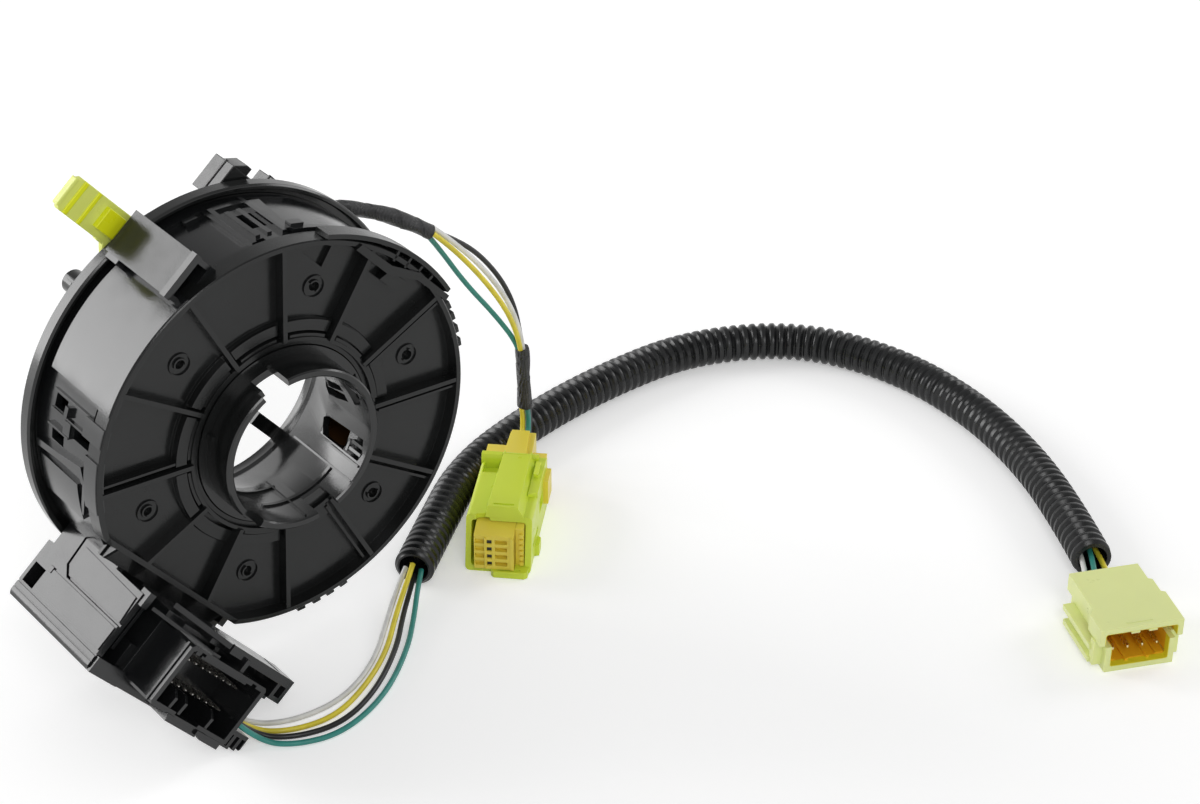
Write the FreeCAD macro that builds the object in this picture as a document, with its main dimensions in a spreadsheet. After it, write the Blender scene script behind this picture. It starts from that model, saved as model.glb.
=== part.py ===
import FreeCAD, Part
import os
from math import radians, tan

from FreeCAD import Placement, Rotation, Vector

# A steering clock spring: the reel that carries the airbag and horn circuits
# across a turning steering wheel. The stator is a drum with a ribbed cover and
# a socket block. The rotor is a sleeve and a flanged plate that turn in it, and
# a flat cable wound between the two takes up the turns. Two leads leave it, and
# their plugs and the conduit lie on the surface that the socket block stands on.
#
# Each drum piece is drawn in the drum's own frame: z along the steering axis
# and out of the cover, y away from the socket block, with zero at the cover's
# rim. The pose then lays the axis level, with the cover facing -Y.

doc = FreeCAD.newDocument("clock_spring")
sheet = doc.addObject("Spreadsheet::Sheet", "Sizes")

SIZES = [
    # name, value in mm or degrees, what it is
    ("StandAngle", 50.4, "turn of the drum about its axis, from the block straight down"),
    ("CoverRadius", 54.0, "ribbed cover, outside"),
    ("CoverSkirt", 5.5, "cover, rim to underside"),
    ("CoverLip", 1.6, "cover, width of the raised rim"),
    ("PanelDepth", 3.5, "cover, rim down to the panels"),
    ("StepRadius", 32.0, "cover, edge of the thicker middle"),
    ("StepRise", 0.6, "cover, height of the thicker middle"),
    ("CollarRadius", 27.0, "cover, collar outside"),
    ("CollarBore", 25.0, "cover, collar inside"),
    ("CollarDrop", 0.8, "cover, rim down to the collar's top"),
    ("RibCount", 12, "cover, radial ribs"),
    ("RibAngle", 17.0, "cover, first rib"),
    ("RibWidth", 1.3, "cover, rib width"),
    ("BossCount", 6, "cover, bosses"),
    ("BossAngle", 2.0, "cover, first boss"),
    ("BossCircle", 40.0, "cover, bosses' circle radius"),
    ("BossRadius", 3.0, "cover, boss"),
    ("BossRise", 1.0, "cover, boss height over the panel"),
    ("BossHole", 1.3, "cover, boss hole radius"),
    ("BossHoleDepth", 1.8, "cover, boss hole depth"),
    ("FlatDepth", 7.0, "flat side, in from the cover's edge"),
    ("ChordDistance", "=CoverRadius-FlatDepth", "axis to the flat side"),
    ("ChordWall", 1.5, "cover and drum, wall along the flat side"),
    ("WallInset", 1.0, "drum wall, in from the cover's edge"),
    ("WallRadius", "=CoverRadius-WallInset", "drum wall, outside"),
    ("WallThick", 2.0, "drum wall"),
    ("DrumDepth", 33.0, "cover's rim to the drum's open end"),
    ("DrumRingWidth", 9.0, "ring at the drum's open end, in from the wall"),
    ("DrumRingBore", "=WallRadius-DrumRingWidth", "ring at the drum's open end, inside"),
    ("DrumRingThick", 1.5, "ring at the drum's open end"),
    ("LatchLow", 9.7, "latch box on the wall, near side"),
    ("LatchHigh", 22.0, "latch box on the wall, far side"),
    ("LatchRise", 4.0, "latch box, out of the wall"),
    ("LatchReach", "=WallRadius+LatchRise", "axis to the latch box's face"),
    ("SleeveBore", 20.3, "column bore radius"),
    ("SleeveWall", 2.1, "sleeve wall"),
    ("SleeveNose", 8.0, "sleeve, past the cover's rim"),
    ("FlareStart", 12.0, "cover's rim to where the sleeve starts to flare"),
    ("FlareRadius", 30.0, "sleeve, inside at the far end"),
    ("FlareFoot", 1.5, "sleeve, straight stretch over the plate"),
    ("SleeveTail", 0.6, "sleeve, past the plate"),
    ("SleeveRingRadius", 24.7, "sleeve, running ring in the collar"),
    ("SleeveRingTop", 1.6, "cover's rim to the running ring's top"),
    ("SleeveRingDepth", 3.5, "running ring, along the axis"),
    ("KeyWidth", 6.2, "sleeve nose, width of each cancel notch"),
    ("KeyDepth", 7.4, "sleeve nose, depth of each cancel notch"),
    ("RunningGap", 0.4, "plate to drum, along the axis"),
    ("PlateThick", 2.0, "rotor plate"),
    ("PlateOverhang", 2.2, "rotor plate, past the cover's edge"),
    ("PlateRadius", "=CoverRadius+PlateOverhang", "rotor plate, outside"),
    ("PlateLip", 1.6, "rotor plate, rim width"),
    ("LipLap", 2.4, "plate rim, lap over the drum wall"),
    ("LipGap", 0.7, "block and latch box, short of the plate's rim"),
    ("FitGap", 0.05, "plate on sleeve, radial"),
    ("SeatGap", 0.1, "pieces seated on each other"),
    ("BlockLeft", 13.0, "block, axis plane to the left side"),
    ("BlockRight", 29.0, "block, axis plane to the right side"),
    ("BlockHeight", 28.0, "block, from the flat side to its underside"),
    ("BlockFoot", "=ChordDistance+BlockHeight", "axis to the block's underside"),
    ("BlockFront", 7.5, "cover's rim to the block's front"),
    ("SocketLeft", 1.5, "socket, axis plane to the left side"),
    ("SocketRise", 3.0, "socket, over the block's underside"),
    ("SocketFoot", "=BlockFoot-SocketRise", "axis to the socket's underside"),
    ("SocketHeight", 18.0, "socket, height"),
    ("SocketTop", "=SocketFoot-SocketHeight", "axis to the socket's top"),
    ("SocketFront", 21.0, "cover's rim to the socket's mouth"),
    ("SocketWall", 1.4, "socket wall"),
    ("SocketDepth", 15.0, "socket depth"),
    ("GuardDrop", 2.2, "guard wall, below the flat side"),
    ("GuardTop", "=ChordDistance+GuardDrop", "guard wall over the socket, axis to its top"),
    ("GuardThick", 1.6, "guard wall"),
    ("GuardRight", 34.0, "guard wall, axis plane to its right end"),
    ("FootRight", 35.3, "foot clip, axis plane to its right end"),
    ("FootDrop", 1.2, "foot clip, below the socket"),
    ("GlandRise", 6.0, "wire gland, its middle over the socket's underside"),
    ("GlandBack", 8.4, "cover's rim to the wire gland's back"),
    ("GlandFront", 17.8, "cover's rim to the wire gland's front"),
    ("GlandReach", 2.2, "wire gland, out of the block's right side"),
    ("PinCount", 10, "socket pins in a row"),
    ("PinPitch", 2.4, "socket pins, spacing"),
    ("PinRowGap", 5.0, "socket pins, between rows"),
    ("PinSize", 0.7, "socket pins, square"),
    ("PinReach", 9.0, "socket pins, out of the floor"),
    ("TabReach", 20.0, "lock tab, tip past the cover's edge"),
    ("TabSeat", 10.0, "lock tab, in from the cover's edge"),
    ("TabTip", "=CoverRadius+TabReach", "axis to the lock tab's tip"),
    ("TabRoot", "=CoverRadius-TabSeat", "axis to the lock tab's inner end"),
    ("TabCentre", 15.2, "lock tab, height of its centre line"),
    ("TabWidth", 9.6, "lock tab, width"),
    ("TabThick", 2.4, "lock tab"),
    ("PegInset", 5.7, "drive pegs, in from the plate's edge"),
    ("PegCircle", "=PlateRadius-PegInset", "drive pegs' circle radius"),
    ("PegRadius", 3.2, "drive peg"),
    ("PegReach", 7.5, "drive peg, out of the plate"),
    ("ExitLeft", 38.4, "lead housing, axis plane to the left side"),
    ("ExitRight", 14.0, "lead housing, axis plane to the right side"),
    ("ExitInset", 4.0, "lead housing, in from the cover's edge"),
    ("ExitHeight", 14.0, "lead housing, height"),
    ("ExitHigh", "=CoverRadius-ExitInset", "lead housing, high side"),
    ("ExitLow", "=ExitHigh-ExitHeight", "lead housing, low side"),
    ("ExitReach", 9.5, "lead housing, out of the plate"),
    ("GlandLength", 8.3, "lead gland on the housing"),
    ("CableRoom", 2.00, "flat cable, clear of the cover and the ring"),
    ("CableWidth", "=DrumDepth-DrumRingThick-CoverSkirt-2*CableRoom", "flat cable, along the axis"),
    ("CableThick", 0.5, "flat cable with its backing"),
    ("CableTurns", 3.5, "flat cable, turns in the drum"),
    ("FloorDrop", 74.0, "axis down to the surface the block stands on"),
    ("ConduitDiameter", 11.4, "conduit, over its rings"),
    ("WireDiameter", 1.5, "single wire"),
    ("TapeDiameter", 4.6, "taped bundle"),
    ("PlugWidth", 23.6, "vehicle plug, width"),
    ("PlugLength", 26.4, "vehicle plug, length"),
    ("PlugHeight", 14.0, "vehicle plug, height"),
    ("PlugWall", 1.6, "vehicle plug, wall"),
    ("PlugDepth", 16.0, "vehicle plug, socket depth"),
    ("PlugTurn", 24.0, "vehicle plug, turn from the steering axis"),
    ("AirbagWidth", 18.6, "airbag plug, width"),
    ("AirbagLength", 31.0, "airbag plug, length"),
    ("AirbagHeight", 19.0, "airbag plug, height"),
    ("AirbagTurn", 45.0, "airbag plug, turn from the steering axis"),
    ("NeckWidth", 11.0, "airbag plug, width of the neck"),
    ("NeckLength", 12.0, "airbag plug, length of the neck"),
    ("NeckLow", 5.0, "airbag plug, underside of the neck"),
    ("NeckHigh", 18.4, "airbag plug, top of the neck"),
    ("TongueReach", 5.0, "airbag plug, front tongue"),
]

for row_number, (size_name, size_value, size_note) in enumerate(SIZES, start=1):
    sheet.set(f"A{row_number}", size_name)
    sheet.set(f"B{row_number}", str(size_value))
    sheet.set(f"C{row_number}", size_note)
    sheet.setAlias(f"B{row_number}", size_name)
doc.recompute()

NAMES = sorted((entry[0] for entry in SIZES), key=len, reverse=True)


def size(name):
    """The sheet's value for one size."""
    return float(sheet.get(name))


def bound(text):
    """An expression on the sheet, from one that names its sizes plainly."""
    words = []
    word = ""
    for letter in text + " ":
        if letter.isalnum():
            word += letter
            continue
        words.append("Sizes." + word if word in NAMES else word)
        words.append(letter)
        word = ""
    return "".join(words).strip()


def bind(thing, prop, text):
    """Bind one property of a feature to the sheet."""
    thing.setExpression(prop, bound(str(text)))


def value(text):
    """The number that an expression on the sheet gives."""
    return float(sheet.evalExpression(bound(str(text)).replace("Sizes.", "")))


def plane(body, role):
    return next(f for f in body.Origin.OriginFeatures if f.Role == role)


def attach(feature, body, role, x="0", y="0", z="0", angle=None):
    """Lay a feature on one of its body's own planes, at bound offsets."""
    feature.AttachmentSupport = [(plane(body, role), "")]
    feature.MapMode = "FlatFace"
    if angle is not None:
        feature.AttachmentOffset = Placement(Vector(), Rotation(Vector(0, 0, 1), 1))
        bind(feature, "AttachmentOffset.Rotation.Angle", angle)
    for letter, text in zip("xyz", (x, y, z)):
        if text != "0":
            bind(feature, f"AttachmentOffset.Base.{letter}", text)


def new_body(label):
    body = doc.addObject("PartDesign::Body", label)
    body.Label = label
    return body


def profile(body, name, role, corners):
    """A closed outline, each corner held by two bound distances from zero."""
    sketch = body.newObject("Sketcher::SketchObject", name)
    attach(sketch, body, role)
    places = [Vector(value(across), value(along), 0) for across, along in corners]
    for index, start in enumerate(places):
        end = places[(index + 1) % len(places)]
        sketch.addGeometry(Part.LineSegment(start, end), False)
    for index in range(len(places)):
        after = (index + 1) % len(places)
        sketch.addConstraint(Sketcher.Constraint("Coincident", index, 2, after, 1))
    for index, (across, along) in enumerate(corners):
        for kind, text, axis, number in (
            ("DistanceX", across, -2, places[index].x),
            ("DistanceY", along, -1, places[index].y),
        ):
            if str(text) == "0":
                sketch.addConstraint(Sketcher.Constraint("PointOnObject", index, 1, axis))
                continue
            held = sketch.addConstraint(Sketcher.Constraint(kind, -1, 1, index, 1, number))
            sketch.setExpression(f"Constraints[{held}]", bound(text))
    return sketch


def revolved(body, name, corners):
    """A ring turned about z from corners of radius and height."""
    sketch = profile(body, name + "_outline", "XZ_Plane", corners)
    ring = body.newObject("PartDesign::Revolution", name)
    ring.Profile = sketch
    ring.ReferenceAxis = (sketch, ["V_Axis"])
    ring.Angle = 360.0
    sketch.Visibility = False
    doc.recompute()
    return ring


def block(body, name, low, high, cut=False, angle=None):
    """A box between two corners of bound text, added or cut, turned about z."""
    kind = "PartDesign::SubtractiveBox" if cut else "PartDesign::AdditiveBox"
    box = body.newObject(kind, name)
    x, y, z = low
    if angle is None:
        attach(box, body, "XY_Plane", x, y, z)
    else:
        turned_x = f"({x})*cos({angle})-({y})*sin({angle})"
        turned_y = f"({x})*sin({angle})+({y})*cos({angle})"
        attach(box, body, "XY_Plane", turned_x, turned_y, z, angle)
    for prop, start, end in zip(("Length", "Width", "Height"), low, high):
        bind(box, prop, f"({end})-({start})")
    doc.recompute()
    return box


def post(body, name, radius, centre, low, high, cut=False):
    """A round post or hole along z."""
    kind = "PartDesign::SubtractiveCylinder" if cut else "PartDesign::AdditiveCylinder"
    round_piece = body.newObject(kind, name)
    attach(round_piece, body, "XY_Plane", centre[0], centre[1], low)
    bind(round_piece, "Radius", radius)
    bind(round_piece, "Height", f"({high})-({low})")
    doc.recompute()
    return round_piece


def around(body, name, features, count):
    """Repeat features evenly about z."""
    pattern = body.newObject("PartDesign::PolarPattern", name)
    pattern.Originals = features
    pattern.Axis = (plane(body, "Z_Axis"), [""])
    pattern.Angle = 360.0
    bind(pattern, "Occurrences", count)
    body.Tip = pattern
    doc.recompute()
    return pattern


import Sketcher

DRUM_POSE = Placement(Vector(), Rotation(Vector(1, 0, 0), 90)) * Placement(
    Vector(), Rotation(Vector(0, 0, 1), -size("StandAngle"))
)
GLAND_RUN = Vector(0.728, 0.685, 0)
PLATE_FACE = "DrumDepth+RunningGap"
PLATE_BACK = "DrumDepth+RunningGap+PlateThick"
LIP_TOP = PLATE_FACE + "-LipLap"
BOX_BACK = LIP_TOP + "-LipGap"


def rear_cover():
    """The ribbed cover: rim, panels, collar, ribs and bosses, cut flat at the block."""
    body = new_body("rear_cover")
    revolved(
        body,
        "cover_disc",
        [
            ("CollarBore", "-CoverSkirt"),
            ("CoverRadius", "-CoverSkirt"),
            ("CoverRadius", "0"),
            ("CoverRadius-CoverLip", "0"),
            ("CoverRadius-CoverLip", "-PanelDepth"),
            ("StepRadius", "-PanelDepth"),
            ("StepRadius", "-PanelDepth+StepRise"),
            ("CollarRadius", "-PanelDepth+StepRise"),
            ("CollarRadius", "-CollarDrop"),
            ("CollarBore", "-CollarDrop"),
        ],
    )
    rib = block(
        body,
        "cover_rib",
        ("CollarRadius-0.5", "-RibWidth/2", "-PanelDepth-0.5"),
        ("CoverRadius-CoverLip/2", "RibWidth/2", "-CollarDrop"),
        angle="RibAngle",
    )
    around(body, "cover_ribs", [rib], "RibCount")
    centre = ("BossCircle*cos(BossAngle)", "BossCircle*sin(BossAngle)")
    top = "-PanelDepth+BossRise"
    boss = post(body, "cover_boss", "BossRadius", centre, "-PanelDepth-0.5", top)
    around(body, "cover_bosses", [boss], "BossCount")
    hole = post(body, "boss_hole", "BossHole", centre, top + "-BossHoleDepth", top + "+1", cut=True)
    around(body, "boss_holes", [hole], "BossCount")
    block(
        body,
        "flat_side",
        ("-CoverRadius-1", "-CoverRadius-1", "-CoverSkirt-1"),
        ("CoverRadius+1", "-ChordDistance", "1"),
        cut=True,
    )
    half = "sqrt(CoverRadius^2-ChordDistance^2)-1"
    block(
        body,
        "flat_rim",
        ("-(" + half + ")", "-ChordDistance", "-CoverSkirt"),
        (half, "-ChordDistance+ChordWall", "0"),
    )
    return body


def drum():
    """The stator drum: wall, open-end ring, flat side and latch box."""
    body = new_body("stator_drum")
    revolved(
        body,
        "drum_wall",
        [
            ("WallRadius-WallThick", "-CoverSkirt"),
            ("WallRadius", "-CoverSkirt"),
            ("WallRadius", "-DrumDepth"),
            ("DrumRingBore", "-DrumDepth"),
            ("DrumRingBore", "-DrumDepth+DrumRingThick"),
            ("WallRadius-WallThick", "-DrumDepth+DrumRingThick"),
        ],
    )
    block(
        body,
        "drum_flat_cut",
        ("-BlockLeft-LipGap", "-WallRadius-1", "-DrumDepth-1"),
        ("WallRadius+1", "-ChordDistance", "-CoverSkirt+1"),
        cut=True,
    )
    half = "sqrt(WallRadius^2-ChordDistance^2)-1"
    end = "BlockLeft+LipGap"
    block(
        body,
        "drum_flat_wall",
        ("-(" + end + "+ChordWall)", "-ChordDistance", "-DrumDepth"),
        (half, "-ChordDistance+ChordWall", "-CoverSkirt"),
    )
    block(
        body,
        "drum_flat_end",
        ("-(" + end + "+ChordWall)", "-sqrt(WallRadius^2-(" + end + "+ChordWall)^2)+0.3", "-DrumDepth"),
        ("-(" + end + ")", "-ChordDistance+ChordWall", "-CoverSkirt"),
    )
    for name, near, far, low in (
        ("latch_box", "LatchReach", "-WallRadius+2.4", "LatchLow"),
        ("latch_box_foot", "WallRadius-2", "-WallRadius+4.4", "LatchHigh-6"),
    ):
        block(
            body,
            name,
            ("-(" + near + ")", low, "-(" + BOX_BACK + ")"),
            (far, "LatchHigh", "-CoverSkirt"),
        )
    return body


def rotor_sleeve():
    """The bore sleeve: nose with two cancel notches, and the ring that runs in the collar."""
    body = new_body("rotor_sleeve")
    outside = "SleeveBore+SleeveWall"
    hub = "FlareRadius+SleeveWall"
    tail = "-(" + PLATE_BACK + "+SleeveTail)"
    foot = "-(" + PLATE_FACE + "-FlareFoot)"
    ring_foot = "-SleeveRingTop-SleeveRingDepth"
    revolved(
        body,
        "sleeve_tube",
        [
            ("FlareRadius", tail),
            (hub, tail),
            (hub, foot),
            (outside, "-FlareStart"),
            (outside, ring_foot),
            ("SleeveRingRadius", ring_foot),
            ("SleeveRingRadius", "-SleeveRingTop"),
            (outside, "-SleeveRingTop"),
            (outside, "SleeveNose"),
            ("SleeveBore", "SleeveNose"),
            ("SleeveBore", "-FlareStart"),
            ("FlareRadius", foot),
        ],
    )
    notch = block(
        body,
        "cancel_notch",
        ("SleeveBore-3", "-KeyWidth/2", "SleeveNose-KeyDepth"),
        (outside + "+3", "KeyWidth/2", "SleeveNose+1"),
        cut=True,
        angle="157",
    )
    around(body, "cancel_notches", [notch], "2")
    return body


def rotor_plate():
    """The plate that closes the drum's open end, with its rim and drive pegs."""
    body = new_body("rotor_plate")
    bore = "FlareRadius+SleeveWall+FitGap"
    revolved(
        body,
        "plate_disc",
        [
            (bore, "-(" + PLATE_BACK + ")"),
            ("PlateRadius", "-(" + PLATE_BACK + ")"),
            ("PlateRadius", "-(" + LIP_TOP + ")"),
            ("PlateRadius-PlateLip", "-(" + LIP_TOP + ")"),
            ("PlateRadius-PlateLip", "-(" + PLATE_FACE + ")"),
            (bore, "-(" + PLATE_FACE + ")"),
        ],
    )
    peg = post(
        body,
        "drive_peg",
        "PegRadius",
        ("-PegCircle", "-1.5"),
        "-(" + PLATE_BACK + "+PegReach)",
        "-(" + PLATE_BACK + "-0.5)",
    )
    around(body, "drive_pegs", [peg], "2")
    return body


def lock_tab():
    """The pull-out transport lock on the plate's front: a strip with two grip bars."""
    body = new_body("lock_tab")
    face = PLATE_BACK + "+SeatGap"
    low = "TabCentre-TabWidth/2"
    high = "TabCentre+TabWidth/2"
    block(
        body,
        "tab_strip",
        ("-TabTip", low, "-(" + face + "+TabThick)"),
        ("-TabRoot", high, "-(" + face + ")"),
    )
    block(
        body,
        "tab_shoulder",
        ("-PlateRadius+3", low + "-2.5", "-(" + face + "+TabThick)"),
        ("-TabRoot", high, "-(" + face + ")"),
    )
    for number, along in enumerate(("TabTip-2", "TabTip-9")):
        block(
            body,
            f"grip_bar_{number + 1}",
            ("-(" + along + ")", low, "-(" + face + "+TabThick+0.8)"),
            ("-(" + along + "-1.4)", high, "-(" + face + "+TabThick-0.2)"),
        )
    return body


def lead_housing():
    """The box on the plate's front that the airbag lead leaves."""
    body = new_body("lead_housing")
    face = PLATE_BACK + "+SeatGap"
    block(
        body,
        "housing_box",
        ("-ExitLeft", "ExitLow", "-(" + PLATE_BACK + "+ExitReach)"),
        ("-ExitRight", "ExitHigh-4", "-(" + face + ")"),
    )
    block(
        body,
        "housing_mouth",
        ("-ExitRight-10", "ExitLow+4", "-(" + PLATE_BACK + "+ExitReach-1)"),
        ("-ExitRight", "ExitHigh", "-(" + face + ")"),
    )
    gland = body.newObject("PartDesign::AdditiveCylinder", "lead_gland")
    gland.AttachmentSupport = [(plane(body, "XY_Plane"), "")]
    gland.MapMode = "FlatFace"
    back = size("DrumDepth") + size("RunningGap") + size("PlateThick")
    start = Vector(-size("ExitRight") - 2.58, size("ExitLow") + 4.31, -back - 4.6)
    gland.AttachmentOffset = Placement(start, Rotation(Vector(0, 0, 1), GLAND_RUN))
    bind(gland, "Radius", "TapeDiameter/2+1")
    bind(gland, "Height", "GlandLength")
    doc.recompute()
    return body


def socket_block():
    """The block that carries the column socket, hollow at its mouth."""
    body = new_body("socket_block")
    top = "ChordDistance+SeatGap"
    block(
        body,
        "block_body",
        ("-BlockLeft", "-BlockFoot", "-(" + BOX_BACK + ")"),
        ("BlockRight", "-(" + top + ")", "BlockFront"),
    )
    block(
        body,
        "socket_shell",
        ("-SocketLeft", "-SocketFoot", "BlockFront-1"),
        ("BlockRight", "-SocketTop", "SocketFront"),
    )
    block(
        body,
        "socket_mouth",
        ("-SocketLeft+SocketWall", "-SocketFoot+SocketWall", "SocketFront-SocketDepth"),
        ("BlockRight-SocketWall", "-SocketTop-SocketWall", "SocketFront+1"),
        cut=True,
    )
    block(
        body,
        "side_window",
        ("-BlockLeft-1", "-BlockFoot+6", "-(" + BOX_BACK + "-2)"),
        ("-BlockLeft+5", "-BlockFoot+13", "-(" + BOX_BACK + "-7.5)"),
        cut=True,
    )
    block(
        body,
        "foot_clip",
        ("BlockRight-0.5", "-SocketFoot-FootDrop", "SocketFront-4"),
        ("FootRight", "-SocketFoot-FootDrop+3.2", "SocketFront"),
    )
    block(
        body,
        "guard_wall",
        ("-SocketLeft", "-GuardTop-GuardThick", "BlockFront-1"),
        ("GuardRight", "-GuardTop", "SocketFront"),
    )
    block(
        body,
        "wire_gland",
        ("BlockRight-0.5", "-SocketFoot+GlandRise-3.4", "GlandBack"),
        ("BlockRight+GlandReach", "-SocketFoot+GlandRise+3.4", "GlandFront"),
    )
    return body


def socket_pins():
    """Two rows of pins standing in the socket's floor."""
    floor = size("SocketFront") - size("SocketDepth")
    middle_x = (size("BlockRight") - size("SocketLeft")) / 2
    middle_y = -(size("SocketTop") + size("SocketFoot")) / 2
    side = size("PinSize")
    pins = []
    for line in (-0.5, 0.5):
        for number in range(int(size("PinCount"))):
            x = middle_x + (number - (size("PinCount") - 1) / 2) * size("PinPitch")
            y = middle_y + line * size("PinRowGap")
            corner = Vector(x - side / 2, y - side / 2, floor)
            pins.append(Part.makeBox(side, side, size("PinReach"), corner))
    return shaped("socket_pins", Part.makeCompound(pins), DRUM_POSE)


def flat_cable():
    """The wound flat cable: half turns of growing radius, from the sleeve to the drum wall."""
    inner = size("FlareRadius") + size("SleeveWall") + 0.3
    outer = size("WallRadius") - size("WallThick") - 5.2
    half_turns = int(size("CableTurns") * 2)
    growth = (outer - inner) / half_turns
    thick = size("CableThick")
    up = Vector(0, 0, 1)
    sides = []
    for offset in (0, thick):
        arcs = []
        for number in range(half_turns):
            middle = Vector(growth if number % 2 else 0, 0, 0)
            circle = Part.Circle(middle, up, inner + offset + growth * number)
            start = radians(180 * (number % 2))
            arcs.append(Part.ArcOfCircle(circle, start, start + radians(180)))
        sides.append(arcs)
    first = Part.LineSegment(sides[0][0].StartPoint, sides[1][0].StartPoint)
    last = Part.LineSegment(sides[0][-1].EndPoint, sides[1][-1].EndPoint)
    edges = [arc.toShape() for arcs in sides for arc in arcs]
    edges += [first.toShape(), last.toShape()]
    face = Part.Face(Part.Wire(Part.__sortEdges__(edges)))
    middle = (size("CoverSkirt") + size("DrumDepth") - size("DrumRingThick")) / 2
    face.translate(Vector(0, 0, -middle - size("CableWidth") / 2))
    return shaped("flat_cable", face.extrude(Vector(0, 0, size("CableWidth"))), DRUM_POSE)


def shaped(label, shape, pose):
    """A feature that holds a shape made with Part's own functions."""
    feature = doc.addObject("Part::Feature", label)
    feature.Label = label
    feature.Shape = shape
    feature.Placement = pose
    return feature


FLOOR = -size("FloorDrop")
ON_FLOOR = FLOOR + size("WireDiameter") / 2
CONDUIT_HEIGHT = FLOOR + size("ConduitDiameter") / 2

# The conduit lies in one open bow on the floor, past the drum's lower right.
CONDUIT_ROUTE = [
    (44.8, 13.0),
    (58.6, 24.0),
    (84.0, 44.0),
    (115.5, 53.6),
    (148.3, 58.0),
    (180.9, 57.0),
    (210.7, 40.5),
    (224.3, 9.9),
    (225.2, -23.0),
    (217.7, -55.1),
    (204.8, -84.0),
    (196.6, -99.4),
]

# Each harness wire leaves the block's right side, drops to the floor and runs
# into the conduit's mouth.
HARNESS_ROUTES = {
    "harness_wire_white": [
        (-30.8, -10.0, -66.3),
        (-25.0, -11.5, -73.2),
        (-14.6, -18.0, -73.2),
        (1.0, -18.2, -73.2),
        (16.5, -9.6, -73.2),
        (29.2, 3.0, -72.2),
        (37.6, 10.4, -70.0),
        (43.3, 14.7, -68.3),
    ],
    "harness_wire_yellow": [
        (-30.8, -12.2, -66.3),
        (-25.4, -14.4, -73.2),
        (-17.5, -20.9, -73.2),
        (-5.0, -23.0, -73.2),
        (8.0, -17.4, -73.2),
        (21.2, -8.2, -73.2),
        (31.8, 2.8, -72.0),
        (40.2, 9.5, -68.6),
        (44.6, 13.0, -66.7),
    ],
    "harness_wire_black": [
        (-30.8, -14.4, -66.3),
        (-25.6, -17.0, -73.2),
        (-17.8, -23.8, -73.2),
        (-5.0, -26.4, -73.2),
        (9.0, -20.7, -73.2),
        (23.8, -9.0, -73.2),
        (33.6, 2.2, -73.0),
        (40.6, 8.8, -71.4),
        (44.8, 12.7, -70.1),
    ],
    "harness_wire_teal": [
        (-30.8, -16.6, -66.3),
        (-25.9, -19.6, -73.2),
        (-19.4, -26.4, -73.2),
        (-7.0, -29.8, -73.2),
        (9.8, -23.9, -73.2),
        (25.6, -11.4, -73.2),
        (35.4, -0.6, -72.6),
        (41.8, 6.8, -69.9),
        (46.1, 11.1, -68.3),
    ],
}

# The airbag lead leaves the housing behind the plate and hangs in one plane
# behind the drum. It is taped at both ends and open in its middle.
UPPER_TAPE_ROUTE = [
    (28.9, 40.0, 37.4),
    (37.6, 40.0, 36.3),
    (50.0, 40.0, 31.6),
    (62.0, 40.0, 25.2),
    (72.5, 40.0, 17.0),
]
LEAD_ROUTES = {
    "lead_wire_white": [
        (73.4, 40.0, 18.0),
        (78.9, 39.6, 12.6),
        (89.9, 38.9, -0.5),
        (98.9, 39.0, -15.9),
        (103.6, 39.6, -31.0),
    ],
    "lead_wire_yellow": [
        (72.6, 38.8, 16.9),
        (77.6, 38.2, 11.8),
        (87.9, 36.8, -2.0),
        (96.9, 37.4, -16.9),
        (101.9, 38.8, -31.0),
    ],
    "lead_wire_black": [
        (72.6, 41.2, 16.9),
        (79.5, 42.2, 12.6),
        (91.9, 43.3, 1.5),
        (101.5, 42.6, -14.5),
        (104.0, 41.3, -31.0),
    ],
    "lead_wire_teal": [
        (71.9, 40.0, 15.8),
        (76.0, 41.6, 10.4),
        (84.9, 42.0, -4.5),
        (94.9, 41.4, -18.5),
        (101.9, 40.6, -31.0),
    ],
}
LOWER_TAPE_ROUTE = [
    (102.9, 40.1, -31.4),
    (103.1, 40.2, -38.2),
    (103.7, 40.7, -45.6),
    (104.4, 41.4, -52.3),
]

# Distance behind the plug's neck and height, for the outer and the inner pair
# of wires, which turn from the taped bundle down into the neck.
PLUG_TURN_OUTER = [(8.9, -52.65), (11.7, -57.0), (11.2, -62.6), (6.0, -65.8), (0.1, -65.3)]
PLUG_TURN_INNER = [(7.2, -52.65), (9.3, -56.5), (8.8, -61.3), (4.6, -64.1), (0.1, -63.6)]
PLUG_WIRES = {
    "plug_wire_white": (PLUG_TURN_OUTER, -0.85),
    "plug_wire_yellow": (PLUG_TURN_INNER, -0.85),
    "plug_wire_black": (PLUG_TURN_OUTER, 0.85),
    "plug_wire_teal": (PLUG_TURN_INNER, 0.85),
}

TAIL_WIRES = [
    ((194.4, -98.6, -68.3), (183.6, -109.7, -68.0)),
    ((196.5, -99.7, -66.5), (186.1, -110.8, -67.6)),
    ((196.5, -99.7, -70.1), (188.7, -112.0, -68.4)),
    ((198.5, -100.7, -68.3), (191.2, -113.1, -68.0)),
]


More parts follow.
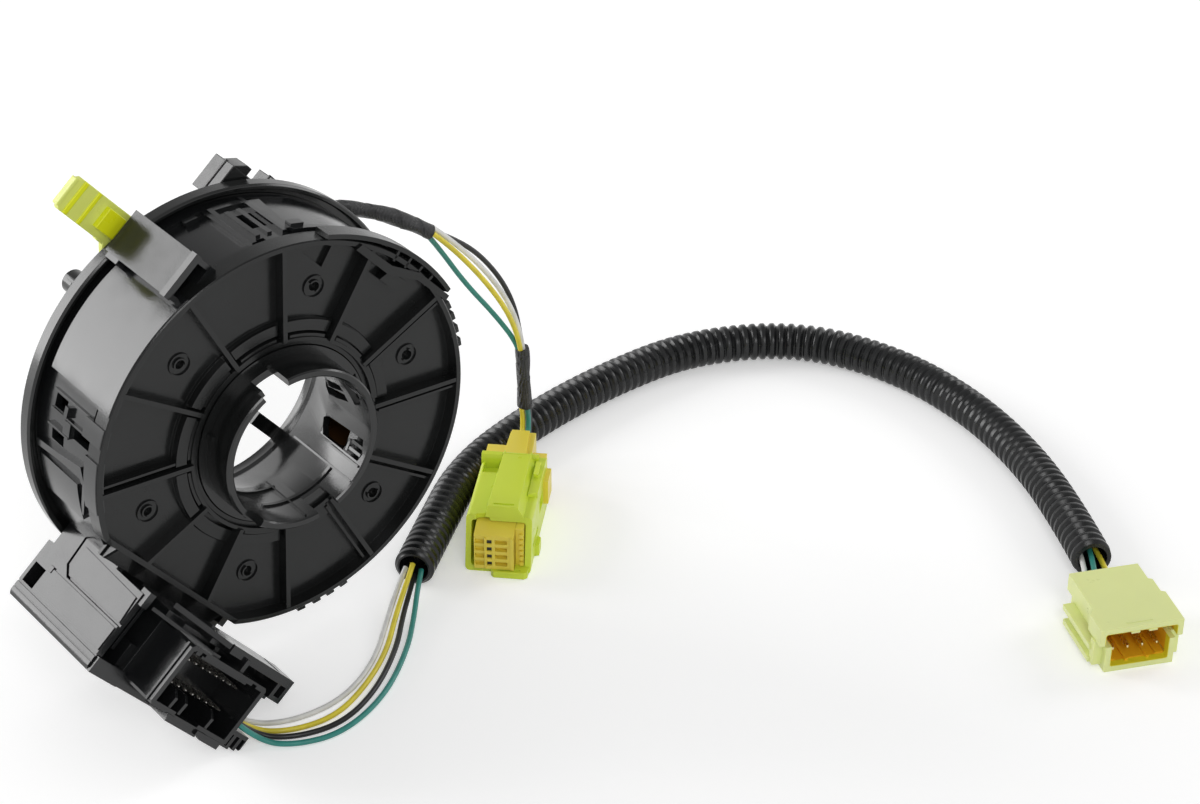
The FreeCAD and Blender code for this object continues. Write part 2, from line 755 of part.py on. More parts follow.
def smooth_path(points):
    """Straight runs joined by tangent arcs, as large as the two runs allow."""
    places = [Vector(*point) for point in points]
    edges = []
    radii = []
    start = places[0]
    for before, corner, after in zip(places, places[1:], places[2:]):
        back = (before - corner).normalize()
        ahead = (after - corner).normalize()
        half_turn = (180 - back.getAngle(ahead) * 180 / 3.141592653589793) / 2
        run = min((before - corner).Length, (after - corner).Length)
        reach = 0.45 * run
        radii.append(reach / tan(radians(half_turn)))
        enter = corner + back * reach
        leave = corner + ahead * reach
        towards = (back + ahead).normalize()
        to_centre = (radii[-1] ** 2 + reach**2) ** 0.5
        middle = corner + towards * (to_centre - radii[-1])
        edges.append(Part.LineSegment(start, enter).toShape())
        edges.append(Part.Arc(enter, middle, leave).toShape())
        start = leave
    edges.append(Part.LineSegment(start, places[-1]).toShape())
    return Part.Wire(edges), radii


def tube(label, points, diameter):
    """A plain round cord along its route, with its volume checked."""
    path, radii = smooth_path(points)
    ahead = Vector(*points[1]) - Vector(*points[0])
    ring = Part.Wire(Part.makeCircle(diameter / 2, Vector(*points[0]), ahead))
    solid = path.makePipeShell([ring], True, False)
    expected = path.Length * 3.141592653589793 * diameter**2 / 4
    print(
        label,
        "length", round(path.Length, 1),
        "least radius", round(min(radii), 1),
        "in diameters", round(min(radii) / diameter, 1),
        "volume share", round(solid.Volume / expected, 4),
    )
    return shaped(label, solid, Placement())


def cords():
    """The conduit, the single wires and the taped bundles."""
    wire = size("WireDiameter")
    tape = size("TapeDiameter")
    made = [
        tube(
            "conduit",
            [(x, y, CONDUIT_HEIGHT) for x, y in CONDUIT_ROUTE],
            size("ConduitDiameter"),
        ),
        tube("upper_tape", UPPER_TAPE_ROUTE, tape),
        tube("lower_tape", LOWER_TAPE_ROUTE, tape),
    ]
    for routes in (HARNESS_ROUTES, LEAD_ROUTES):
        for name, route in routes.items():
            made.append(tube(name, route, wire))
    neck = size("AirbagLength") + size("NeckLength")
    pose = floor_pose(AIRBAG_FRONT, size("AirbagTurn"))
    for name, (turn, beside) in PLUG_WIRES.items():
        places = [pose.multVec(Vector(beside, neck + out, z - FLOOR)) for out, z in turn]
        for place in places:
            print(name, "at", round(place.x, 2), round(place.y, 2), round(place.z, 2))
        made.append(tube(name, [tuple(place) for place in places], wire))
    tails = []
    for start, end in TAIL_WIRES:
        along = Vector(*end) - Vector(*start)
        tails.append(Part.makeCylinder(wire / 2, along.Length, Vector(*start), along))
    made.append(shaped("tail_wires", Part.makeCompound(tails), Placement()))
    return made


PLUG_FRONT = Vector(176.5, -135.9, 0)
AIRBAG_FRONT = Vector(68.3, 5.3, 0)


def floor_pose(front, turn):
    """A plug's own frame: its mouth at zero facing -Y, laid on the floor and turned."""
    return Placement(
        Vector(front.x, front.y, FLOOR), Rotation(Vector(0, 0, 1), -turn)
    )


def vehicle_plug():
    """The car-side plug: a shell with an open mouth, side rails and a rear collar."""
    body = new_body("vehicle_plug")
    half = "PlugWidth/2"
    block(body, "plug_shell", ("-" + half, "0", "0"), (half, "PlugLength", "PlugHeight"))
    block(
        body,
        "plug_mouth",
        ("-" + half + "+PlugWall", "-1", "PlugWall"),
        (half + "-PlugWall", "PlugDepth", "PlugHeight-PlugWall"),
        cut=True,
    )
    for side, low, high in (
        ("left", "-" + half + "-1.2", "-" + half + "+0.2"),
        ("right", half + "-0.2", half + "+1.2"),
    ):
        block(
            body,
            f"rail_{side}",
            (low, "PlugWall", "PlugHeight*0.35"),
            (high, "PlugLength-7", "PlugHeight*0.55"),
        )
    body.Placement = floor_pose(PLUG_FRONT, size("PlugTurn"))
    return body


def vehicle_pins():
    """Four flat pins standing in the plug's mouth."""
    pins = []
    for number in range(4):
        x = (number - 1.5) * 4.4
        corner = Vector(x - 0.6, size("PlugDepth") - 11, size("PlugHeight") * 0.32)
        pins.append(Part.makeBox(1.2, 11, 0.8, corner))
    pose = floor_pose(PLUG_FRONT, size("PlugTurn"))
    return shaped("vehicle_pins", Part.makeCompound(pins), pose)


def airbag_plug():
    """The airbag plug's outer slide: a sleeve round the insert, and its neck."""
    body = new_body("airbag_plug")
    half = "AirbagWidth/2"
    block(body, "slide_shell", ("-" + half, "0", "0"), (half, "AirbagLength", "AirbagHeight"))
    block(
        body,
        "slide_mouth",
        ("-" + half + "+1.8", "-1", "2.2"),
        (half + "-1.8", "15", "AirbagHeight-2.2"),
        cut=True,
    )
    block(
        body,
        "slide_neck",
        ("-NeckWidth/2", "AirbagLength-1", "NeckLow"),
        ("NeckWidth/2", "AirbagLength+NeckLength", "NeckHigh"),
    )
    block(
        body,
        "slide_tongue",
        ("-1.5", "-TongueReach", "0"),
        (half + "-0.6", "1", "2.2"),
    )
    body.Placement = floor_pose(AIRBAG_FRONT, size("AirbagTurn"))
    return body


def airbag_insert():
    """The terminal insert in the airbag plug's mouth, with four sockets."""
    body = new_body("airbag_insert")
    half = "AirbagWidth/2-2.6"
    block(body, "insert_body", ("-(" + half + ")", "1.2", "3.0"), (half, "15", "AirbagHeight-3.0"))
    for number in range(4):
        low = f"4.6+{number}*2.7"
        block(
            body,
            f"terminal_socket_{number + 1}",
            ("-4.2", "0", low),
            ("1.2", "9", low + "+1.3"),
            cut=True,
        )
    body.Placement = floor_pose(AIRBAG_FRONT, size("AirbagTurn"))
    return body


drum_bodies = [
    rear_cover(),
    drum(),
    rotor_sleeve(),
    rotor_plate(),
    lock_tab(),
    lead_housing(),
    socket_block(),
]
for drum_body in drum_bodies:
    drum_body.Placement = DRUM_POSE

pieces = drum_bodies + [
    socket_pins(),
    flat_cable(),
    vehicle_plug(),
    vehicle_pins(),
    airbag_plug(),
    airbag_insert(),
]
pieces += cords()
doc.recompute()

for thing in doc.Objects:
    if "Invalid" in thing.State or "Error" in thing.State:
        raise RuntimeError(f"{thing.Label} did not build: {thing.State}")
for piece in pieces:
    if piece.Shape.isNull() or not piece.Shape.isValid():
        raise RuntimeError(f"{piece.Label} has no valid shape")
    if not piece.Shape.Solids:
        raise RuntimeError(f"{piece.Label} has no solid")

os.makedirs("parts", exist_ok=True)
for piece in pieces:
    piece.Shape.exportStep(f"parts/{piece.Label}.step")
    print(piece.Label, len(piece.Shape.Solids), round(piece.Shape.Volume, 1))
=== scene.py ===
import math
import random

import bmesh
import bpy
from mathutils import Matrix, Vector


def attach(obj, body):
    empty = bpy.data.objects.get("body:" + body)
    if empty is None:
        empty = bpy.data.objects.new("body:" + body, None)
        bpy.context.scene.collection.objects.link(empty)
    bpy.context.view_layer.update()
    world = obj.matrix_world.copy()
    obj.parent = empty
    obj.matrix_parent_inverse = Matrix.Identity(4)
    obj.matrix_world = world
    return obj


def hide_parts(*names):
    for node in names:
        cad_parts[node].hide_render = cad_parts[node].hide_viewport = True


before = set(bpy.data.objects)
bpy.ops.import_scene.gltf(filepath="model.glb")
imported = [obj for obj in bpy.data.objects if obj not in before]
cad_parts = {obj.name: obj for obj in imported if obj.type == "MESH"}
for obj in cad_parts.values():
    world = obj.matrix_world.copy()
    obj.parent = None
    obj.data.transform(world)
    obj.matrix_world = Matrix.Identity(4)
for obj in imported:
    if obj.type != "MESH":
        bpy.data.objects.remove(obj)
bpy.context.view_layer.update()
MM = 0.001
# The surface that the cords and plugs lie on, in millimetres below the steering axis
FLOOR = -74.0
# How far the drum is rolled about its axis, in degrees
DRUM_ROLL = -50.4
# Edges that turn by more than this many degrees stay crisp and get a rounding
SHARP = math.radians(38)

# The drum's own frame: z out of the ribbed cover, y away from the socket block
DRUM = Matrix.Rotation(math.radians(90), 4, "X") @ Matrix.Rotation(math.radians(DRUM_ROLL), 4, "Z")


def floor_frame(x, y, turn):
    """A plug's own frame: mouth at y zero facing -Y, laid on the floor and turned."""
    return Matrix.Translation((x, y, FLOOR)) @ Matrix.Rotation(math.radians(-turn), 4, "Z")


ROOM = Matrix.Identity(4)
VEHICLE = floor_frame(176.5, -135.9, 24.0)
AIRBAG = floor_frame(68.3, 5.3, 45.0)


def polar(radius, angle):
    """The point at a radius and at an angle in degrees."""
    a = math.radians(angle)
    return radius * math.cos(a), radius * math.sin(a)


def heading(line, i):
    """The direction of a line at one of its points."""
    return (line[min(len(line) - 1, i + 1)] - line[max(0, i - 1)]).normalized()


def new_object(name, data):
    o = bpy.data.objects.new(name, data)
    bpy.context.scene.collection.objects.link(o)
    return o


class Form:
    """Closed shells in millimetres, gathered into one mesh."""

    def __init__(self, mesh=None):
        self.points = [v.co.copy() for v in mesh.vertices] if mesh else []
        self.faces = [tuple(p.vertices) for p in mesh.polygons] if mesh else []

    def add(self, points, faces):
        base = len(self.points)
        self.points += [Vector(p) for p in points]
        self.faces += [tuple(base + i for i in f) for f in faces]
        return self

    def join(self, other):
        return self.add(other.points, other.faces)

    def between(self, lower, upper):
        """Two outlines with as many points each, closed and joined by walls."""
        n = len(lower)
        faces = [tuple(range(n - 1, -1, -1)), tuple(range(n, 2 * n))]
        faces += [(i, (i + 1) % n, n + (i + 1) % n, n + i) for i in range(n)]
        return self.add([*lower, *upper], faces)

    def skin(self, rows, whole=False):
        """Walls between rows of points, capped at both ends or closed to a whole ring."""
        n = len(rows[0])
        count = len(rows)
        faces = []
        for i in range(count if whole else count - 1):
            j = (i + 1) % count
            for k in range(n):
                m = (k + 1) % n
                faces.append((i * n + k, j * n + k, j * n + m, i * n + m))
        if not whole:
            faces.append(tuple(range(n - 1, -1, -1)))
            faces.append(tuple((count - 1) * n + k for k in range(n)))
        return self.add([p for row in rows for p in row], faces)

    def prism(self, outline, low, high, turn=0.0, shift=(0, 0), top=None):
        """An outline in x and y, carried from one height to another."""
        c, s = polar(1.0, turn)

        def place(p, z):
            return (p[0] * c - p[1] * s + shift[0], p[0] * s + p[1] * c + shift[1], z)

        return self.between([place(p, low) for p in outline], [place(p, high) for p in top or outline])

    def sideways(self, outline, low, high):
        """An outline in y and z, carried along x from one place to another."""
        return self.between([(low, y, z) for y, z in outline], [(high, y, z) for y, z in outline])

    def endways(self, outline, low, high):
        """An outline in x and z, carried along y from one place to another."""
        return self.between([(x, low, z) for x, z in outline], [(x, high, z) for x, z in outline])

    def patch(self, corners, low, high):
        """A patch on a round wall, given by its corners' angles and heights, between two radii."""
        return self.between(*[[(*polar(r, angle), z) for angle, z in corners] for r in (low, high)])

    def box(self, low, high, turn=0.0, shift=(0, 0)):
        (x0, y0, z0), (x1, y1, z1) = low, high
        return self.prism([(x0, y0), (x1, y0), (x1, y1), (x0, y1)], z0, z1, turn, shift)

    def boxes(self, *corners):
        """Plain boxes, each given by its low and its high corner."""
        for low, high in corners:
            self.box(low, high)

    def post(self, centre, radius, low, high, sides=32):
        outline = [polar(radius, 360 * i / sides) for i in range(sides)]
        return self.prism(outline, low, high, shift=centre)

    def ring(self, outline, steps=160, start=0.0, end=360.0, shift=(0, 0)):
        """An outline of radius and height, turned about z, whole or between two angles."""
        whole = abs(end - start) >= 359.99
        rows = []
        for i in range(steps if whole else steps + 1):
            c, s = polar(1.0, start + (end - start) * i / steps)
            rows.append([(r * c + shift[0], r * s + shift[1], z) for r, z in outline])
        return self.skin(rows, whole)

    def sector(self, radii, heights, angles, steps):
        """A part of a ring between two radii, two heights and two angles."""
        (r0, r1), (z0, z1) = radii, heights
        return self.ring([(r0, z0), (r1, z0), (r1, z1), (r0, z1)], steps, *angles)

    def sectors(self, steps, *rows):
        """Parts of rings, each by its two radii, two heights and two angles."""
        for r0, r1, z0, z1, first, last in rows:
            self.sector((r0, r1), (z0, z1), (first, last), steps)

    def spoke(self, radii, width, heights, angle, shift=0.0):
        """A straight bar that runs outward at an angle."""
        low = (radii[0], shift - width / 2, heights[0])
        return self.box(low, (radii[1], shift + width / 2, heights[1]), angle)

    def along(self, line, section):
        """A section carried along a level line."""
        rows = []
        for i, p in enumerate(line):
            t = heading(line, i)
            side = t.cross(Vector((0, 0, 1))).normalized()
            lift = side.cross(t)
            rows.append([p + side * u + lift * v for u, v in section])
        return self.skin(rows)

    def mesh(self, name):
        made = bpy.data.meshes.new(name)
        made.from_pydata([tuple(p) for p in self.points], [], self.faces)
        bm = bmesh.new()
        bm.from_mesh(made)
        bmesh.ops.recalc_face_normals(bm, faces=bm.faces)
        bm.to_mesh(made)
        bm.free()
        return made

    def trimmed(self, point, normal):
        """The part behind a plane, with its cut faces closed."""
        made = self.mesh("trim")
        bm = bmesh.new()
        bm.from_mesh(made)
        parts = bm.verts[:] + bm.edges[:] + bm.faces[:]
        cut = bmesh.ops.bisect_plane(
            bm, geom=parts, plane_co=point, plane_no=normal, clear_outer=True, dist=1e-4
        )
        edges = [e for e in cut["geom_cut"] if isinstance(e, bmesh.types.BMEdge)]
        bmesh.ops.holes_fill(bm, edges=edges, sides=0)
        bm.to_mesh(made)
        bm.free()
        return Form(made)

    def carved(self, cutter):
        """This form with the cutter's shells taken out of it."""
        base = new_object("carve_base", self.mesh("carve_base"))
        tool = new_object("carve_tool", cutter.mesh("carve_tool"))
        work = base.modifiers.new("carve", "BOOLEAN")
        work.operation = "DIFFERENCE"
        work.solver = "EXACT"
        work.use_self = True
        work.object = tool
        bpy.context.view_layer.update()
        form = Form(base.evaluated_get(bpy.context.evaluated_depsgraph_get()).to_mesh())
        for o in (base, tool):
            bpy.data.objects.remove(o)
        return form


def piece(form, name, pose, body, material, replaces=(), bevel=0.25, segments=2):
    """A finished object from a form, with its edges rounded."""
    made = form.mesh(name)
    made.transform(Matrix.Scale(MM, 4) @ pose)
    o = new_object(name, made)
    for p in made.polygons:
        p.use_smooth = True
    made.set_sharp_from_angle(angle=SHARP)
    if bevel:
        work = o.modifiers.new("edges", "BEVEL")
        work.width = bevel * MM
        work.segments = segments
        work.limit_method = "ANGLE"
        work.angle_limit = SHARP
        work.use_clamp_overlap = True
        work.miter_outer = "MITER_ARC"
        normals = o.modifiers.new("normals", "WEIGHTED_NORMAL")
        normals.keep_sharp = True
    made.materials.append(material)
    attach(o, body)
    if replaces:
        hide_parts(*replaces)
    return o


# Materials, each named for what the real one is made of


def linear(colour):
    """An sRGB hex value as linear red, green and blue."""
    parts = [int(colour[i : i + 2], 16) / 255 for i in (1, 3, 5)]
    return [c / 12.92 if c <= 0.04045 else ((c + 0.055) / 1.055) ** 2.4 for c in parts]


def shade(colour, amount=1.0):
    """A hex colour made darker or lighter, with its alpha."""
    return (*[max(0.0, min(1.0, c * amount)) for c in linear(colour)], 1.0)


def per(size):
    """A pattern scale that gives patches of this size in millimetres."""
    return 1000.0 / size


def node(tree, kind, values=()):
    """Adds a node with its settings, its inputs' values and its incoming links."""
    made = tree.nodes.new(kind)
    for key, value in dict(values).items():
        if isinstance(value, bpy.types.NodeSocket):
            tree.links.new(value, made.inputs[key])
        elif isinstance(key, int) or key in made.inputs:
            made.inputs[key].default_value = value
        else:
            setattr(made, key, value)
    return made


def maths(tree, operation, *values):
    """The result of one operation on numbers and links."""
    return node(tree, "ShaderNodeMath", {"operation": operation, **dict(enumerate(values))}).outputs[0]


def noise(tree, place, size, detail=2.0, roughness=0.5):
    """Cloudy noise with patches of this size in millimetres."""
    settings = {"Scale": per(size), "Detail": detail, "Roughness": roughness, "Vector": place}
    return node(tree, "ShaderNodeTexNoise", settings).outputs["Fac"]


def ranged(tree, source, start, end, low=0.0, high=1.0):
    """A pattern's values from start to end, spread from low to high."""
    limits = {"From Min": start, "From Max": end, "To Min": low, "To Max": high}
    return node(tree, "ShaderNodeMapRange", {**limits, "Value": source}).outputs["Result"]


def new_material(name):
    material = bpy.data.materials.new(name)
    material.use_nodes = True
    tree = material.node_tree
    place = node(tree, "ShaderNodeTexCoord").outputs["Object"]
    return material, tree, tree.nodes["Principled BSDF"], place


def blend(tree, shader, source, dark, light, start=0.3, end=0.7):
    """The surface's colour, from one tone to another over a pattern."""
    share = ranged(tree, source, start, end)
    tone = node(tree, "ShaderNodeMix", {"data_type": "RGBA", 6: dark, 7: light, 0: share})
    tree.links.new(tone.outputs[2], shader.inputs["Base Color"])


def uneven_gloss(tree, shader, source, rough):
    """Roughness that wanders between two values over a pattern."""
    tree.links.new(ranged(tree, source, 0.3, 0.7, *rough), shader.inputs["Roughness"])


def bump(tree, shader, height, strength, distance):
    """Fine relief from a pattern."""
    relief = node(
        tree, "ShaderNodeBump", {"Strength": strength, "Distance": distance, "Height": height}
    )
    tree.links.new(relief.outputs["Normal"], shader.inputs["Normal"])


def moulded(name, colour, rough, grain, spread, specular=0.5, depth=0.0):
    """Injection-moulded plastic: faint flow marks, scuffed gloss and a fine tool grain."""
    material, tree, shader, place = new_material(name)
    cloud = noise(tree, place, 26, 4.0)
    blend(tree, shader, cloud, shade(colour, 1 - spread), shade(colour, 1 + spread))
    uneven_gloss(tree, shader, noise(tree, place, 6.2, 5.0, 0.65), rough)
    # Tool grain is near 0.1 mm on the real part and is drawn at 0.4 mm so that it shows.
    fine = noise(tree, place, 0.4)
    stretch = node(tree, "ShaderNodeMapping", {"Scale": (1.0, 0.35, 1.0), "Vector": place})
    flow = noise(tree, stretch.outputs["Vector"], 22)
    bump(tree, shader, maths(tree, "MULTIPLY_ADD", flow, 1.6, fine), grain, 0.0002)
    shader.inputs["Specular IOR Level"].default_value = specular
    shader.inputs["Subsurface Weight"].default_value = depth
    shader.inputs["Subsurface Radius"].default_value = (0.004, 0.003, 0.001)
    shader.inputs["Subsurface Scale"].default_value = 1.0
    return material


def plated(name, colour):
    """Plated terminal metal: bright, with slightly dull patches."""
    material, tree, shader, place = new_material(name)
    patch = noise(tree, place, 1.1, 3.0)
    blend(tree, shader, patch, shade(colour, 0.85), shade(colour))
    uneven_gloss(tree, shader, patch, (0.18, 0.35))
    shader.inputs["Metallic"].default_value = 1.0
    return material


def insulation(name, colour):
    """Extruded PVC wire insulation: smooth, a little waxy, with some grime."""
    material, tree, shader, place = new_material(name)
    grime = noise(tree, place, 4.5, 4.0)
    blend(tree, shader, grime, shade(colour, 0.86), shade(colour), 0.35, 0.6)
    uneven_gloss(tree, shader, noise(tree, place, 2.5), (0.28, 0.46))
    bump(tree, shader, noise(tree, place, 0.55), 0.08, 0.0001)
    return material


def wound_tape(name, colour):
    """Wound PVC tape: shiny, creased across the wires, with a fine weave under it."""
    material, tree, shader, place = new_material(name)
    wear = noise(tree, place, 2.0, 4.0)
    blend(tree, shader, wear, shade(colour, 0.5), shade(colour, 1.8), 0.35, 0.75)
    uneven_gloss(tree, shader, noise(tree, place, 3.8, 4.0), (0.2, 0.42))
    weave = node(
        tree, "ShaderNodeTexWave", {"Scale": per(1.4), "Distortion": 1.5, "Vector": place}
    )
    crease = noise(tree, place, 2.4, 4.0)
    height = maths(tree, "MULTIPLY_ADD", crease, 5.0, weave.outputs["Fac"])
    bump(tree, shader, height, 0.5, 0.0003)
    return material


# Glossy black PBT: nearly black, with clear soft reflections of the studio
PBT_COVER = moulded("pbt_black_cover", "#181919", (0.16, 0.28), 0.10, 0.25, 0.36)
PBT_DRUM = moulded("pbt_black_drum", "#18191A", (0.10, 0.20), 0.08, 0.2)
PBT_ROTOR = moulded("pbt_black_rotor", "#1A1B1B", (0.11, 0.22), 0.08, 0.2)
PBT_BLOCK = moulded("pbt_black_block", "#18191A", (0.12, 0.24), 0.07, 0.2)
# Painted shade: near-black blocks that fill the airbag insert's socket holes, where there is only shade
PBT_SOCKET_SHADE = moulded("pbt_painted_socket_shade", "#131313", (0.4, 0.6), 0.1, 0.2)
# Corrugated polypropylene tube: black with a dull sheen on each ring
POLYPROPYLENE = moulded("polypropylene_tube", "#18191A", (0.2, 0.34), 0.08, 0.25, 0.4)
# Unfilled nylon: light goes a little way in, so the shaded sides stay warm
NYLON_LOCK = moulded("nylon_lock_pale", "#E2EA73", (0.25, 0.4), 0.08, 0.04, depth=0.1)
# Painted light: a brighter, deeper yellow for the lock's raised pad and grip bars, standing in for light
# shining through the thin nylon at their edges
NYLON_LOCK_EDGE_LIGHT = moulded("nylon_lock_painted_edge_light", "#E7EC1D", (0.25, 0.4), 0.08, 0.04)
NYLON_LIME = moulded("nylon_plug_lime", "#D1E23C", (0.26, 0.42), 0.08, 0.04, depth=0.1)
NYLON_PALE = moulded("nylon_plug_pale", "#ECF3A6", (0.26, 0.42), 0.08, 0.03, depth=0.1)
NYLON_INSERT = moulded("nylon_insert_yellow", "#ECD74B", (0.3, 0.45), 0.08, 0.05, depth=0.1)
# Painted shade: a saturated yellow for a band over the car plug's mouth faces, standing in for light
# bouncing and shining through the nylon there
NYLON_MOUTH_SHADE = moulded("nylon_painted_mouth_shade", "#EDE52E", (0.26, 0.42), 0.08, 0.03, depth=0.1)
# Painted shade: a deeper amber for a thin sheet over the car plug's hollow, standing in for light bouncing
# and shining through the nylon inside it
NYLON_HOLLOW_SHADE = moulded("nylon_painted_hollow_shade", "#F0B422", (0.3, 0.45), 0.08, 0.06, depth=0.15)
# Polyester film of the flat cable: amber and glossy, seen only through slots
POLYESTER = moulded("polyester_flat_cable", "#5E4024", (0.2, 0.3), 0.05, 0.1)
TIN = plated("tin_plated_pins", "#DDDAD4")
BRASS = plated("brass_blades", "#EFE5BF")
TAPE = wound_tape("pvc_tape", "#1F1F21")
WIRES = {
    "white": insulation("pvc_wire_white", "#E7E7E4"),
    "yellow": insulation("pvc_wire_yellow", "#ECDA3F"),
    "black": insulation("pvc_wire_black", "#1D1D1E"),
    "teal": insulation("pvc_wire_teal", "#308B81"),
}


# Patterns that repeat, made with Geometry Nodes


def pattern_tree(name, sizes):
    """An empty tree with a count and named sizes as its inputs, and a mesh output."""
    tree = bpy.data.node_groups.new(name, "GeometryNodeTree")
    tree.interface.new_socket("Count", in_out="INPUT", socket_type="NodeSocketInt")
    for size in sizes:
        tree.interface.new_socket(size, in_out="INPUT", socket_type="NodeSocketFloat")
    tree.interface.new_socket("Mesh", in_out="OUTPUT", socket_type="NodeSocketGeometry")
    return tree, node(tree, "NodeGroupInput").outputs, node(tree, "NodeGroupOutput")


def finish_tree(tree, end, points, instance, material, **more):
    """An instance on each point, then Realize Instances and Set Material."""
    placed = node(
        tree, "GeometryNodeInstanceOnPoints", {"Points": points, "Instance": instance, **more}
    ).outputs["Instances"]
    real = node(tree, "GeometryNodeRealizeInstances", {"Geometry": placed}).outputs["Geometry"]
    painted = node(tree, "GeometryNodeSetMaterial", {"Material": material, "Geometry": real})
    tree.links.new(painted.outputs["Geometry"], end.inputs["Mesh"])
    return tree


def middle(tree, low, high):
    """Halfway between two sizes."""
    return maths(tree, "MULTIPLY", maths(tree, "ADD", low, high), 0.5)


def reach(tree, low, high):
    """The distance between two sizes."""
    return maths(tree, "SUBTRACT", high, low)


def vector(tree, **parts):
    """A vector from sizes for X, Y and Z."""
    return node(tree, "ShaderNodeCombineXYZ", parts).outputs[0]


def moved(tree, mesh, way, **more):
    """A mesh moved by a vector."""
    values = {"Geometry": mesh, "Translation": way, **more}
    return node(tree, "GeometryNodeTransform", values).outputs["Geometry"]


def bars_round_axis(material):
    """One straight bar, repeated at even angles round the axis."""
    names = ("First", "Step", "Inner", "Outer", "Width", "Shift", "Low", "High")
    tree, sizes, end = pattern_tree("bars_round_axis", names)
    across = (tree, sizes["Inner"], sizes["Outer"])
    upward = (tree, sizes["Low"], sizes["High"])
    size = vector(tree, X=reach(*across), Y=sizes["Width"], Z=reach(*upward))
    centre = vector(tree, X=middle(*across), Y=sizes["Shift"], Z=middle(*upward))
    bar = node(tree, "GeometryNodeMeshCube", {"Size": size}).outputs["Mesh"]
    number = node(tree, "GeometryNodeInputIndex").outputs[0]
    angle = maths(tree, "MULTIPLY_ADD", number, sizes["Step"], sizes["First"])
    turn = vector(tree, Z=maths(tree, "RADIANS", angle))
    points = node(tree, "GeometryNodePoints", {"Count": sizes["Count"]}).outputs[0]
    return finish_tree(tree, end, points, moved(tree, bar, centre), material, Rotation=turn)


def pin_row(material):
    """A row of square pins with pointed tips at an even pitch."""
    names = ("Pitch", "Side", "Start", "Across", "Low", "High", "Tip")
    tree, sizes, end = pattern_tree("pin_row", names)
    side = sizes["Side"]
    upward = (tree, sizes["Low"], sizes["High"])
    size = vector(tree, X=side, Y=side, Z=reach(*upward))
    bar = node(tree, "GeometryNodeMeshCube", {"Size": size}).outputs["Mesh"]
    shaft = moved(tree, bar, vector(tree, Z=middle(*upward)))
    tip = node(
        tree,
        "GeometryNodeMeshCone",
        {
            "Vertices": 4,
            "Radius Bottom": maths(tree, "MULTIPLY", side, 0.7071),
            "Radius Top": maths(tree, "MULTIPLY", side, 0.28),
            "Depth": sizes["Tip"],
        },
    )
    square_on = (0.0, 0.0, math.radians(45))
    top = vector(tree, Z=sizes["High"])
    raised = moved(tree, tip.outputs["Mesh"], top, Rotation=square_on)
    pin = node(tree, "GeometryNodeJoinGeometry", {"Geometry": shaft})
    tree.links.new(raised, pin.inputs[0])
    start = vector(tree, X=sizes["Start"], Y=sizes["Across"])
    line = {"Count": sizes["Count"], "Start Location": start, "Offset": vector(tree, X=sizes["Pitch"])}
    points = node(tree, "GeometryNodeMeshLine", line).outputs[0]
    return finish_tree(tree, end, points, pin.outputs[0], material)


def pattern(tree, **sizes):
    """The plain form that a pattern makes with the given sizes."""
    o = new_object("pattern", bpy.data.meshes.new("pattern"))
    work = o.modifiers.new("pattern", "NODES")
    work.node_group = tree
    for item in tree.interface.items_tree:
        if item.item_type == "SOCKET" and item.in_out == "INPUT":
            work[item.identifier] = sizes[item.name]
    bpy.context.view_layer.update()
    seen = o.evaluated_get(bpy.context.evaluated_depsgraph_get())
    form = Form(bpy.data.meshes.new_from_object(seen))
    bpy.data.objects.remove(o)
    return form


COVER_BARS = bars_round_axis(PBT_COVER)
ROTOR_BARS = bars_round_axis(PBT_ROTOR)
SOCKET_PINS = pin_row(TIN)


# Cords


def route(name, points, radius=0.0):
    """A smooth curve with the route's points, in millimetres, as its control points."""
    data = bpy.data.curves.new(name, "CURVE")
    data.dimensions = "3D"
    line = data.splines.new("NURBS")
    line.points.add(len(points) - 1)
    for control, p in zip(line.points, points):
        control.co = (*metres(p), 1.0)
    line.order_u = 3
    line.use_endpoint_u = True
    line.resolution_u = 16
    data.resolution_u = 16
    if radius:
        data.bevel_depth = radius * MM
        data.bevel_resolution = 5
        data.use_fill_caps = True
    return new_object(name, data)


def read_line(points, step):
    """Points in millimetres along the smooth curve, evenly spaced, and its length."""
    probe = route("probe", points)
    raw = [v.co / MM for v in bpy.data.meshes.new_from_object(probe).vertices]
    bpy.data.objects.remove(probe)
    lengths = [0.0]
    for a, b in zip(raw, raw[1:]):
        lengths.append(lengths[-1] + (b - a).length)
    count = max(2, round(lengths[-1] / step))
    line = []
    k = 0
    for i in range(count + 1):
        goal = lengths[-1] * i / count
        while k < len(raw) - 2 and lengths[k + 1] < goal:
            k += 1
        span = lengths[k + 1] - lengths[k]
        share = (goal - lengths[k]) / span if span > 0 else 0.0
        line.append(raw[k].lerp(raw[k + 1], share))
    return line, lengths[-1]


